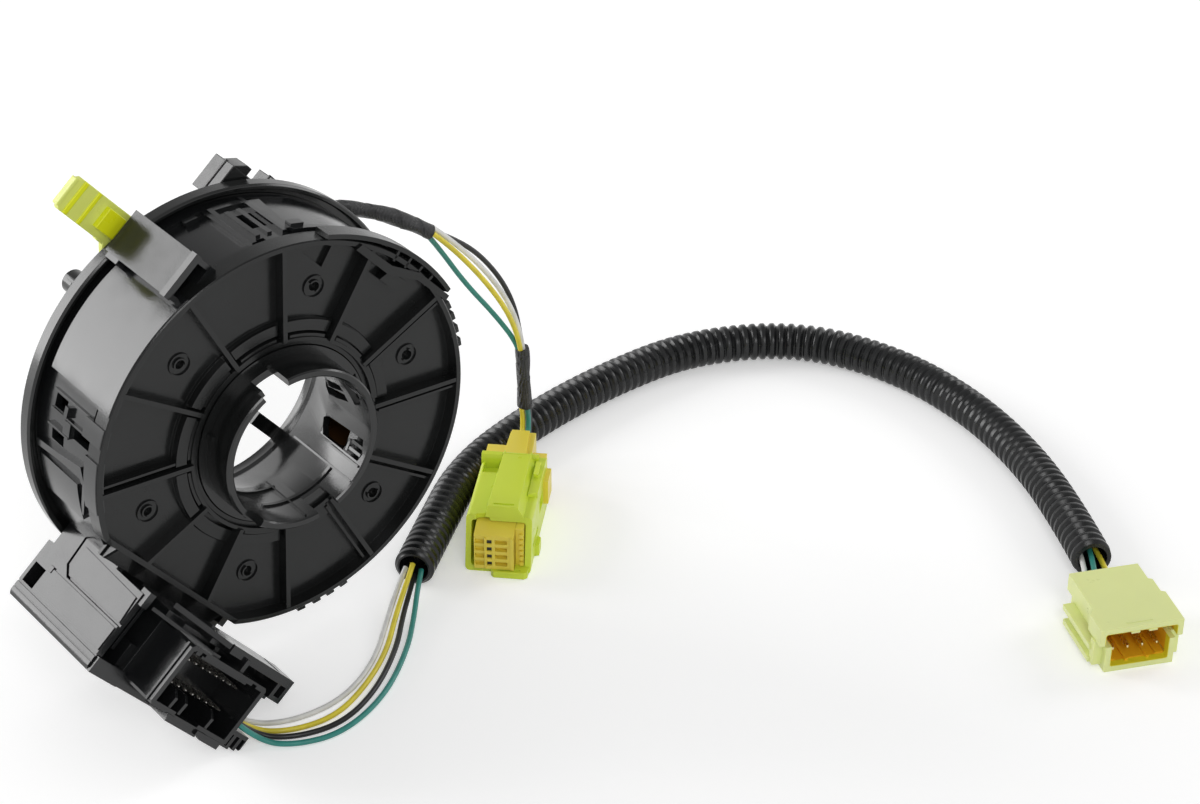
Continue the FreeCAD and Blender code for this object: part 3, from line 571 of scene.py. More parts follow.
def swept(line, radius_at, mouth_radius=0.0, sides=36):
    """A round skin along a line, its radius a function of distance and angle.

    With a mouth radius the ends are open for a short way.
    """
    mouth_depth = 9.0
    turns = [math.tau * k / sides for k in range(sides)]
    rows = []
    frames = []
    normal = None
    run = 0.0
    for i, p in enumerate(line):
        t = heading(line, i)
        if i:
            run += (p - line[i - 1]).length
        if normal is None:
            normal = t.cross(Vector((0, 0, 1)))
            if normal.length < 0.1:
                normal = t.cross(Vector((0, 1, 0)))
        normal = (normal - t * normal.dot(t)).normalized()
        ways = (normal, t.cross(normal))
        frames.append((p, t, ways))
        rows.append([p + outward(ways, a) * radius_at(run, a) for a in turns])
    if mouth_radius:
        (p, t, ways), (q, u, others) = frames[0], frames[-1]
        first = [[p + t * d + outward(ways, a) * mouth_radius for a in turns] for d in (mouth_depth, 0.0)]
        last = [[q - u * d + outward(others, a) * mouth_radius for a in turns] for d in (0.0, mouth_depth)]
        rows = [*first, *rows, *last]
    return Form().skin(rows)


def outward(ways, angle):
    """The direction at an angle between two ways."""
    return ways[0] * math.cos(angle) + ways[1] * math.sin(angle)


CONDUIT_HEIGHT = -68.3
CONDUIT_ROUTE = [
    (44.8, 13.0), (58.6, 24.0), (84.0, 44.0), (115.5, 53.6), (148.3, 58.0), (180.9, 57.0),
    (210.7, 40.5), (224.3, 9.9), (225.2, -23.0), (217.7, -55.1), (204.8, -84.0), (196.6, -99.4),
]
HARNESS = {
    "white": [
        (-30.8, -10.0, -66.3), (-25.0, -11.5, -73.2), (-14.6, -18.0, -73.2), (1.0, -18.2, -73.2),
        (16.5, -9.6, -73.2), (29.2, 3.0, -72.2), (37.6, 10.4, -70.0), (43.3, 14.7, -68.3),
    ],
    "yellow": [
        (-30.8, -12.2, -66.3), (-25.4, -14.4, -73.2), (-17.5, -20.9, -73.2), (-5.0, -23.0, -73.2),
        (8.0, -17.4, -73.2), (21.2, -8.2, -73.2), (31.8, 2.8, -72.0), (40.2, 9.5, -68.6),
        (44.6, 13.0, -66.7),
    ],
    "black": [
        (-30.8, -14.4, -66.3), (-25.6, -17.0, -73.2), (-17.8, -23.8, -73.2), (-5.0, -26.4, -73.2),
        (9.0, -20.7, -73.2), (23.8, -9.0, -73.2), (33.6, 2.2, -73.0), (40.6, 8.8, -71.4),
        (44.8, 12.7, -70.1),
    ],
    "teal": [
        (-30.8, -16.6, -66.3), (-25.9, -19.6, -73.2), (-19.4, -26.4, -73.2), (-7.0, -29.8, -73.2),
        (9.8, -23.9, -73.2), (25.6, -11.4, -73.2), (35.4, -0.6, -72.6), (41.8, 6.8, -69.9),
        (46.1, 11.1, -68.3),
    ],
}
UPPER_TAPE = [
    (28.9, 40.0, 37.4), (37.6, 40.0, 36.3), (50.0, 40.0, 31.6), (62.0, 40.0, 25.2),
    (72.5, 40.0, 17.0),
]
LEADS = {
    "white": [
        (73.4, 40.0, 18.0), (78.9, 39.6, 12.6), (89.9, 38.9, -0.5), (98.9, 39.0, -15.9),
        (103.0, 39.4, -31.0), (103.7, 41.2, -43.0), (104.4, 42.6, -52.65), (106.4, 44.6, -57.0),
        (106.0, 44.2, -62.6), (102.4, 40.6, -65.8), (98.2, 36.4, -65.3),
    ],
    "yellow": [
        (72.6, 38.8, 16.9), (77.6, 38.2, 11.8), (87.9, 36.8, -2.0), (96.9, 37.4, -16.9),
        (102.2, 39.6, -31.0), (103.2, 40.6, -43.0), (103.2, 41.4, -52.65), (104.7, 42.9, -56.5),
        (104.3, 42.5, -61.3), (101.4, 39.6, -64.1), (98.2, 36.4, -63.6),
    ],
    "black": [
        (72.6, 41.2, 16.9), (79.5, 42.2, 12.6), (91.9, 43.3, 1.5), (101.5, 42.6, -14.5),
        (103.5, 40.8, -31.0), (104.3, 41.0, -43.0), (105.6, 41.4, -52.65), (107.6, 43.4, -57.0),
        (107.2, 43.0, -62.6), (103.6, 39.4, -65.8), (99.4, 35.2, -65.3),
    ],
    "teal": [
        (71.9, 40.0, 15.8), (76.0, 41.6, 10.4), (84.9, 42.0, -4.5), (94.9, 41.4, -18.5),
        (102.3, 40.6, -31.0), (103.7, 40.3, -43.0), (104.4, 40.2, -52.65), (105.9, 41.7, -56.5),
        (105.5, 41.3, -61.3), (102.6, 38.4, -64.1), (99.4, 35.2, -63.6),
    ],
}
LOWER_TAPE = [
    (102.9, 40.1, -31.4), (103.1, 40.2, -38.2), (103.7, 40.7, -45.6), (104.4, 41.4, -52.3),
]
TAILS = {
    "white": [(198.8, -90.4, -68.3), (194.4, -98.6, -68.3), (183.6, -109.7, -68.0)],
    "teal": [(200.9, -91.5, -66.5), (196.5, -99.7, -66.5), (186.1, -110.8, -67.6)],
    "black": [(200.9, -91.5, -70.1), (196.5, -99.7, -70.1), (188.7, -112.0, -68.4)],
    "yellow": [(202.9, -92.5, -68.3), (198.5, -100.7, -68.3), (191.2, -113.1, -68.0)],
}
CONDUIT_LINE = [(x, y, CONDUIT_HEIGHT) for x, y in CONDUIT_ROUTE]
CONDUIT_PITCH = 2.95
CONDUIT_VALLEY = 4.75
CONDUIT_RISE = 0.95
CONDUIT_BORE = 4.2
WIRE_RADIUS = 0.75
TAPE_RADIUS = 1.95
TAPE_TURN = 9.0


def metres(p):
    return tuple(c * MM for c in p)


def conduit_radius(run, angle):
    """Rings 3 mm apart: a flat crest, a round valley."""
    wave = 0.5 - 0.5 * math.cos(math.tau * ((run / CONDUIT_PITCH) % 1.0))
    return CONDUIT_VALLEY + CONDUIT_RISE * min(1.0, wave * 1.6)


def tape_radius(seed):
    """A taped bundle: overlapping turns over round wires, pinched unevenly."""
    rng = random.Random(seed)
    shifts = [rng.uniform(0, math.tau) for _ in range(3)]

    def radius(run, angle):
        lap = 0.16 * (1.0 - ((run / TAPE_TURN) - angle / math.tau) % 1.0)
        lobes = 0.16 * math.cos(2 * angle + shifts[0] + run * 0.05)
        crease = 0.06 * math.sin(3 * angle + run * 0.6 + shifts[1])
        pinch = 0.12 * math.sin(run * 0.33 + shifts[2])
        return TAPE_RADIUS + lap + lobes + crease + pinch

    return radius


def wire(name, colour, points, body):
    """One insulated wire of a bundle."""
    o = route(name + "_" + colour, points, WIRE_RADIUS)
    o.data.materials.append(WIRES[colour])
    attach(o, body)
    return o


def taped(name, points, seed, replaces):
    """A taped run of the airbag lead."""
    line, run = read_line(points, 0.5)
    form = swept(line, tape_radius(seed))
    return piece(form, name, ROOM, "rotor", TAPE, [replaces], bevel=0), line, run


def cords():
    line, length = read_line(CONDUIT_LINE, 0.42)
    skin = swept(line, conduit_radius, CONDUIT_BORE)
    tube = piece(skin, "conduit_rings", ROOM, "stator", POLYPROPYLENE,
                 ["conduit"], bevel=0)
    tails = [wire("tail", colour, points, "stator") for colour, points in TAILS.items()]
    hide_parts("tail_wires")
    for colour, points in HARNESS.items():
        o = wire("harness", colour, points, "stator")
        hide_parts("harness_wire_" + colour)
        read_line(points, 1.0)[1]
    upper, line, run = taped("upper_tape_wrap", UPPER_TAPE, 4, "upper_tape")
    lower = taped("lower_tape_wrap", LOWER_TAPE, 9, "lower_tape")[0]
    for colour, points in LEADS.items():
        o = wire("lead", colour, points, "rotor")
        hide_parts("lead_wire_" + colour, "plug_wire_" + colour)
        read_line(points, 1.0)[1]
    return tube, length, tails


# Drum pieces, in the drum's own frame


COVER_RADIUS = 54.0
CHORD = -47.0
PANEL = -3.5
SKIRT = -5.5
FIRST_RIB = 17.0
DOUBLE_RIBS = (17, 47, 77, 227, 347)
BOSS_CIRCLE = 40
BOSS_ANGLES = range(2, 362, 60)


def rear_cover():
    """The ribbed cover: rim, panels, stepped middle, collar, ribs, bosses and snap lips."""
    disc = Form().ring(
        [
            (25.0, SKIRT), (COVER_RADIUS, SKIRT), (COVER_RADIUS, -0.3), (53.7, 0.0), (52.5, 0.0),
            (52.3, PANEL), (32.2, PANEL), (31.9, PANEL + 0.7), (28.6, PANEL + 0.7), (28.6, -4.6),
            (27.4, -4.6), (27.3, -0.8), (26.3, -0.8), (26.1, -1.9), (25.0, -1.9),
        ],
        steps=180,
    )
    holes = Form()
    for angle in BOSS_ANGLES:
        holes.post(polar(BOSS_CIRCLE, angle), 1.3, -4.9, 1.0, sides=20)
    pocket = [(-31.0, 38.6), (-23.0, 38.8), (-24.6, 44.4), (-27.5, 43.4)]
    holes.prism(pocket, -4.9, 1.0)
    form = disc.carved(holes).trimmed((0, CHORD, 0), (0, -1, 0))

    ribs = pattern(COVER_BARS, Count=12, First=FIRST_RIB, Step=30.0, Inner=26.9, Outer=52.7,
                   Width=1.25, Shift=0.0, Low=PANEL - 0.5, High=-0.1)
    for angle in DOUBLE_RIBS:
        ribs.spoke((28.5, 52.5), 0.7, (PANEL - 0.5, -0.9), angle, -2.1)
    form.join(ribs.trimmed((0, CHORD + 0.4, 0), (0, -1, 0)))
    for number in range(12):
        angle = FIRST_RIB + 30 * number
        panel_middle = (angle + 15) % 360
        if not 255 < panel_middle < 285:
            top = -0.7 if 165 < panel_middle < 255 else -1.9
            form.sector((28.7, 31.7), (PANEL, top), (angle + 2.4, angle + 27.6), 18)
            form.sector((27.3, 28.2), (PANEL, -1.2), (angle + 4, angle + 26), 14)
    foot, top = PANEL - 0.3, PANEL + 0.5
    for angle in BOSS_ANGLES:
        centre = polar(BOSS_CIRCLE, angle)
        form.ring([(2.7, foot), (3.15, foot), (3.05, top), (2.8, top)], 36, shift=centre)
        collar = [(1.25, PANEL - 0.5), (1.9, foot), (1.75, PANEL + 0.55), (1.3, PANEL + 0.55)]
        form.ring(collar, 28, angle - 150, angle + 60, centre)

    half = math.sqrt(COVER_RADIUS**2 - CHORD**2)
    form.box((-half + 0.4, CHORD, SKIRT), (half - 0.4, CHORD + 1.4, 0.0))
    for x in (-20.9, -9.6, 0.7, 11.4, 21.0):
        gusset = [(-45.9, SKIRT), (-45.9, -0.8), (-50.9, -3.6), (-50.9, SKIRT)]
        form.sideways(gusset, x, x + 0.9)
    form.box((-21.5, -50.9, SKIRT), (22.5, -46.5, SKIRT + 1.0))

    # Rim: snap lip over the top, bracket, notches and teeth
    lip = []
    for i in range(41):
        angle = 124.5 - 47.5 * i / 40
        top = 55.6 + 1.3 * i / 40
        corners = ((COVER_RADIUS, -4.8), (top, -4.8), (top, 0.9), (top - 1.2, 1.1))
        lip.append([(*polar(r, angle), z) for r, z in corners])
    form.skin(lip)
    for angle in (84, 89, 94, 99):
        form.spoke((52.0, 55.4), 0.8, (-4.0, 0.0), angle)
    bracket = [
        (-21.0, 47.4), (-7.3, 47.9), (1.9, 51.6), (14.2, 52.4), (14.0, 53.9), (0.9, 53.4),
        (-8.2, 50.2), (-20.4, 49.4),
    ]
    form.prism(bracket, -3.6, 0.7)
    form.prism([(-7.2, 45.6), (-0.8, 46.0), (0.2, 49.6), (-6.2, 48.8)], -3.6, -0.9)
    form.sector((53.4, 55.2), (SKIRT, -3.4), (-58, 54), 90)
    for angle in (57.5, 62.0, 66.5, 70.5):
        form.sector((53.4, 55.8), (SKIRT, -1.8), (angle - 1.3, angle + 1.1), 4)
    for angle in (-38.0, -33.0, -28.5, -24.0):
        form.sector((53.4, 55.9), (SKIRT, -1.4), (angle - 1.2, angle + 1.2), 4)
    piece(form, "ribbed_cover", DRUM, "stator", PBT_COVER, ["rear_cover"], 0.18)


WALL = 53.0
DEPTH = -33.0
BOX_BACK = -30.3


def drum():
    """The round wall with its latch box, recessed clip bay, snap windows and ledge."""
    through = (50.0, 54.0)
    profile = [
        (51.0, SKIRT), (WALL, SKIRT), (WALL, DEPTH), (44.0, DEPTH), (44.0, DEPTH + 1.5),
        (51.0, DEPTH + 1.5),
    ]
    wall = Form().ring(profile, steps=192)
    cut = Form().box((-13.7, -60, DEPTH - 1), (60, CHORD, SKIRT + 1))
    for first, last, low, high in (
        (208.2, 212.2, -25.0, -19.5), (203.3, 207.4, -7.4, SKIRT + 1), (213.0, 216.6, -14.6, -6.2),
        (217.4, 221.6, -24.6, -18.8),
    ):
        cut.sector(through, (low, high), (first, last), 6)
    cut.sector((51.9, 54.0), (-29.5, SKIRT + 1), (143.5, 155.8), 16)
    cut.sector(through, (-22.0, -14.0), (133.0, 137.5), 6)
    cut.sector(through, (-8.5, SKIRT + 1), (138.0, 141.5), 6)
    form = wall.carved(cut)
    for low, first, last, steps in (
        (-28.8, 166.8, 202.8, 48), (-5.6, 202.8, 203.6, 2), (-9.0, 207.2, 212.6, 8),
        (-6.2, 216.8, 232.0, 18),
    ):
        form.sector((52.0, 54.35), (low, -0.4), (first, last), steps)
    form.sector((52.0, 53.9), (-28.8, -10.4), (228.0, 239.5), 18)
    half = math.sqrt(WALL**2 - CHORD**2)
    form.boxes(
        ((-15.2, CHORD, DEPTH), (half - 0.4, CHORD + 1.5, SKIRT)),
        ((-15.2, -50.6, DEPTH), (-13.7, CHORD + 1.5, SKIRT)),
    )

    # Latch box: a hood over a dark cavity that opens towards the cover
    slope = [(-56.4, -3.2), (-58.2, BOX_BACK), (-51.2, BOX_BACK), (-51.2, -3.2)]
    hood = Form().endways(slope, 9.7, 22.0)
    hood = hood.carved(Form().box((-55.6, 11.1, -15.0), (-50.0, 20.6, 0.0)))
    hood.boxes(
        ((-55.9, 11.0, -14.4), (-54.8, 20.7, -13.4)), ((-54.6, 12.4, -9.5), (-52.6, 19.4, -8.6)),
        ((-57.2, 9.4, -5.2), (-55.2, 22.3, -3.0)), ((-51.4, 15.8, BOX_BACK), (-48.5, 22.0, -3.2)),
    )
    form.join(hood)
    form.box((-57.05, 8.4, BOX_BACK), (-54.5, 9.9, -25.0))

    # Clip bay to the right of the latch box
    for first, last, low, high, reach in (
        (141.2, 142.6, -28.0, -6.5, 53.9), (131.0, 132.3, -29.5, -8.0, 54.1),
        (132.3, 141.2, -28.5, -26.5, 53.8), (134.6, 136.0, -24.5, -9.5, 53.6),
        (138.2, 139.6, -24.5, -9.5, 53.6), (129.0, 131.0, -20.5, -17.5, 54.0),
        (143.5, 155.5, -7.4, -6.2, 53.3), (146.0, 150.0, -29.0, -27.0, 53.4),
        (118.0, 131.0, -30.0, -28.6, 53.7), (118.0, 130.0, -8.4, -6.6, 54.6),
        (126.0, 130.0, -10.5, -8.0, 55.4),
    ):
        form.sector((50.9, reach), (low, high), (first, last), 8)
    form.patch([(131, -27), (127, -27), (129, -9), (131, -9)], 51.5, 54.0)

    # Snap windows' frames and the stepped ledge below them
    for first, last, low, high, reach in (
        (207.2, 208.0, -26.0, -6.0, 53.5), (212.4, 213.0, -25.5, -6.0, 53.6),
        (213.0, 217.0, -18.4, -15.2, 53.9), (216.8, 217.4, -25.5, -15.5, 54.0),
        (209.0, 212.0, -18.5, -17.0, 54.3),
    ):
        form.sector((50.9, reach), (low, high), (first, last), 5)
    ledge = [
        (224.0, -30.4), (223.0, -19.0), (221.4, -8.0), (225.4, -6.0), (226.2, -7.4), (223.4, -9.4),
        (225.0, -19.0), (226.0, -30.4),
    ]
    form.patch(ledge, 52.0, 54.3)
    form.patch([(225.4, -7.4), (225.4, -6.0), (237.5, -9.6), (237.5, -11.0)], 52.2, 53.9)
    piece(form, "drum_wall", DRUM, "stator", PBT_DRUM, ["stator_drum"], 0.18)


def sleeve():
    """The bore sleeve: notched nose, running ring, and a flared inside with slots and ledges."""
    tube = Form().ring(
        [
            (30.0, -36.0), (32.1, -36.0), (32.1, -31.9), (22.4, -12.0), (22.4, -5.1), (24.7, -5.1),
            (24.7, -1.6), (22.4, -1.6), (22.4, 7.6), (22.0, 8.0), (20.7, 8.0), (20.3, 7.6),
            (20.3, -12.0), (30.0, -31.9),
        ],
        steps=160,
    )
    cut = Form()
    notches = ((148.7, 165.3, 0.6), (328.7, 345.3, 0.6), (262.0, 281.0, 4.2), (165.0, 168.5, 5.6))
    for first, last, low in notches:
        cut.sector((18.0, 24.4), (low, 9.0), (first, last), 10)
    windows = (
        (24.2, [(26.5, -13.5), (31.0, -10.5), (33.0, 5.0), (23.0, 6.4), (16.5, 5.6), (16.5, -10.5)]),
        (27.0, [(45.0, -17.0), (49.0, -18.0), (58.5, -4.0), (54.0, -2.5)]),
        (27.0, [(51.5, -18.5), (54.5, -18.5), (64.5, -5.5), (61.0, -4.0)]),
        (24.2, [(69.0, -3.0), (74.0, -2.0), (72.0, 4.6), (60.0, 3.6), (56.0, 0.5)]),
    )
    for depth, corners in windows:
        cut.patch(corners, 16.0, depth)
    form = tube.carved(cut)
    for angle in (20.5, 26.0):
        form.spoke((20.8, 22.2), 0.8, (0.2, 5.2), angle)
    form.sector((20.6, 21.6), (-0.8, 0.0), (17.5, 26.0), 6)
    form.sectors(3, (19.85, 20.8, -19.0, 7.6, 1.0, 2.6))
    form.sectors(30, (19.9, 20.8, -2.2, -1.2, -62.0, 1.0))
    form.sectors(24, (20.0, 20.8, -9.5, -8.9, -80.0, -38.0))
    form.sectors(3, (19.9, 20.8, -12.0, 7.0, -41.0, -39.6), (19.9, 20.8, -6.0, 7.0, 13.0, 14.6))
    form.ring([(30.0, -31.0), (31.0, -31.0), (31.0, -33.0), (29.7, -33.0)], 120, -60, 80)
    for angle in (150.0, 210.0, 285.0, 60.0):
        form.spoke((22.2, 23.4), 1.4, (-1.5, 0.6), angle)
    piece(form, "bore_sleeve", DRUM, "rotor", PBT_ROTOR, ["rotor_sleeve"], 0.15)


PLATE_FACE = -33.4
PLATE_BACK = -35.4
# Where the lock strip and the lead's housing lie on the plate, in degrees
TAB_ANGLE = 164
EXIT_ANGLE = 122


def apart(one, other):
    """How far apart two angles in degrees are."""
    return abs((one - other + 180) % 360 - 180)


def plate():
    """The wheel-side plate: rim, hub rings, spokes, recesses, stiffening ribs and drive pegs."""
    disc = Form().ring(
        [
            (32.15, PLATE_BACK), (55.6, PLATE_BACK), (56.2, PLATE_BACK + 0.6), (56.2, -31.5),
            (55.7, -31.0), (54.9, -31.0), (54.6, -31.5), (54.6, PLATE_FACE), (32.15, PLATE_FACE),
        ],
        steps=192,
    )
    cut = Form()
    for number in range(8):
        angle = 22.5 + 45 * number
        cut.sector((36.5, 45.5), (PLATE_BACK - 1, PLATE_BACK + 1.1), (angle - 17, angle + 17), 18)
    for angle in (95, 215, 335):
        cut.sector((49.0, 51.6), (PLATE_BACK - 1, PLATE_FACE + 1), (angle - 4, angle + 4), 6)
    form = disc.carved(cut)
    foot = PLATE_BACK + 0.2
    form.ring([(32.15, foot), (34.4, foot), (34.2, -37.4), (32.35, -37.4)], 128)
    form.ring([(46.4, foot), (47.6, foot), (47.5, -36.7), (46.5, -36.7)], 160)
    form.join(pattern(ROTOR_BARS, Count=16, First=11.25, Step=22.5, Inner=34.0, Outer=46.6,
                      Width=1.1, Shift=0.0, Low=-36.4, High=PLATE_BACK + 1.3))
    for number in range(16):
        angle = 11.25 + 22.5 * number
        if apart(angle, TAB_ANGLE) >= 14 and apart(angle, EXIT_ANGLE) >= 22:
            form.spoke((47.4, 54.8), 1.0, (-36.6, foot), angle)
    form.boxes(
        ((21.0, -4.0, -38.3), (34.6, -0.2, -36.1)), ((21.0, -2.4, -39.4), (34.6, -1.8, -38.2)),
    )
    for sign in (1, -1):
        peg = (-50.5 * sign, -1.5 * sign)
        foot = PLATE_BACK + 0.3
        form.post(peg, 3.2, -42.3, foot, 40)
        form.ring([(1.4, -42.9), (2.6, -42.9), (3.2, -42.2), (1.4, -42.2)], 40, shift=peg)
        form.ring([(3.1, foot), (4.9, foot), (4.5, -36.7), (3.1, -36.9)], 40, shift=peg)
        for angle in (0, 90, 180, 270):
            form.box((2.9, -0.4, -38.6), (4.7, 0.4, PLATE_BACK), angle, peg)
    piece(form, "wheel_plate", DRUM, "rotor", PBT_ROTOR, ["rotor_plate"], 0.18)


# Where the lead's gland starts, and which way it points
GLAND = Vector((-16.58, 40.31, -40.0))
GLAND_WAY = Vector((0.728, 0.685, 0))


def lead_exit():
    """The lead's housing on the plate: cover with a seam, screw boss, ribs and ringed gland."""
    outline = [(-38.4, 36.0), (-14.0, 36.0), (-14.0, 50.0), (-24.0, 50.0), (-24.0, 46.0), (-38.4, 46.0)]
    pocket = Form()
    pocket.boxes(
        ((-36.6, 37.6, -46.0), (-25.4, 44.4, -43.4)), ((-22.4, 38.0, -46.0), (-19.0, 48.4, -43.5)),
    )
    form = Form().prism(outline, -44.2, -35.5).carved(pocket)
    form.boxes(
        ((-38.7, 35.7, -39.6), (-13.8, 46.3, -38.9)), ((-24.3, 45.8, -39.6), (-13.8, 50.3, -38.9)),
    )
    form.post((-31.0, 41.0), 2.1, -44.3, -43.0, 28)
    form.post((-31.0, 41.0), 1.0, -44.7, -43.2, 6)
    for x in (-35.6, -27.0):
        form.box((x, 37.4, -44.0), (x + 0.8, 44.6, -43.0))
    form.prism([(-38.4, 45.8), (-33.0, 45.8), (-33.0, 48.2), (-35.0, 48.2)], -41.0, -35.5)
    for start, end, radius in ((0.5, 8.3, 3.3), (4.6, 5.3, 3.729), (6.2, 6.9, 3.729), (7.6, 8.3, 3.729)):
        line = [GLAND + GLAND_WAY * run for run in (start, end)]
        form.along(line, [polar(radius, 360 * k / 32) for k in range(32)])
    piece(form, "lead_exit", DRUM, "rotor", PBT_ROTOR, ["lead_housing"], 0.2)


def lock():
    """The pull-out lock: a waisted strip with a raised pad, grip bars and a thumb end."""
    form = Form()
    low, high = 10.4, 20.0
    top, base = -35.5, -37.9
    strip = [
        (-74.0, low + 1.2), (-72.8, low), (-56.0, low), (-53.5, low - 2.4), (-44.0, low - 2.4),
        (-44.0, high), (-72.8, high), (-74.0, high - 1.2),
    ]
    form.prism(strip, base + 0.3, top - 0.5)
    form.prism(strip, top - 0.9, top)
    # The raised pad and the grip bars in painted light: a brighter yellow where light shines through their
    # thin edges
    edge_light_marks = Form().box((-61.8, low + 2.1, top - 0.3), (-55.4, high - 1.5, top + 1.7))
    for x, width in ((-71.6, 1.5), (-66.3, 1.2)):
        for z0, z1 in ((top - 0.4, top + 0.4), (base - 0.4, base + 0.5)):
            edge_light_marks.box((x, low + 0.1, z0), (x + width, high - 0.1, z1))
    piece(edge_light_marks, "lock_painted_edge_light", DRUM, "lock_tab", NYLON_LOCK_EDGE_LIGHT, bevel=0.25)
    form.boxes(
        ((-74.2, low + 0.7, base + 0.1), (-73.2, high - 0.7, top + 0.1)),
        ((-58.0, low - 0.3, base + 0.2), (-46.0, low + 0.5, top - 0.2)),
        ((-60.0, low + 3.6, base - 0.5), (-48.0, high - 3.6, base + 0.5)),
    )
    piece(form, "lock_strip", DRUM, "lock_tab", NYLON_LOCK, ["lock_tab"], 0.3, 3)


BLOCK_FOOT = -75.0
BLOCK_TOP = -47.1


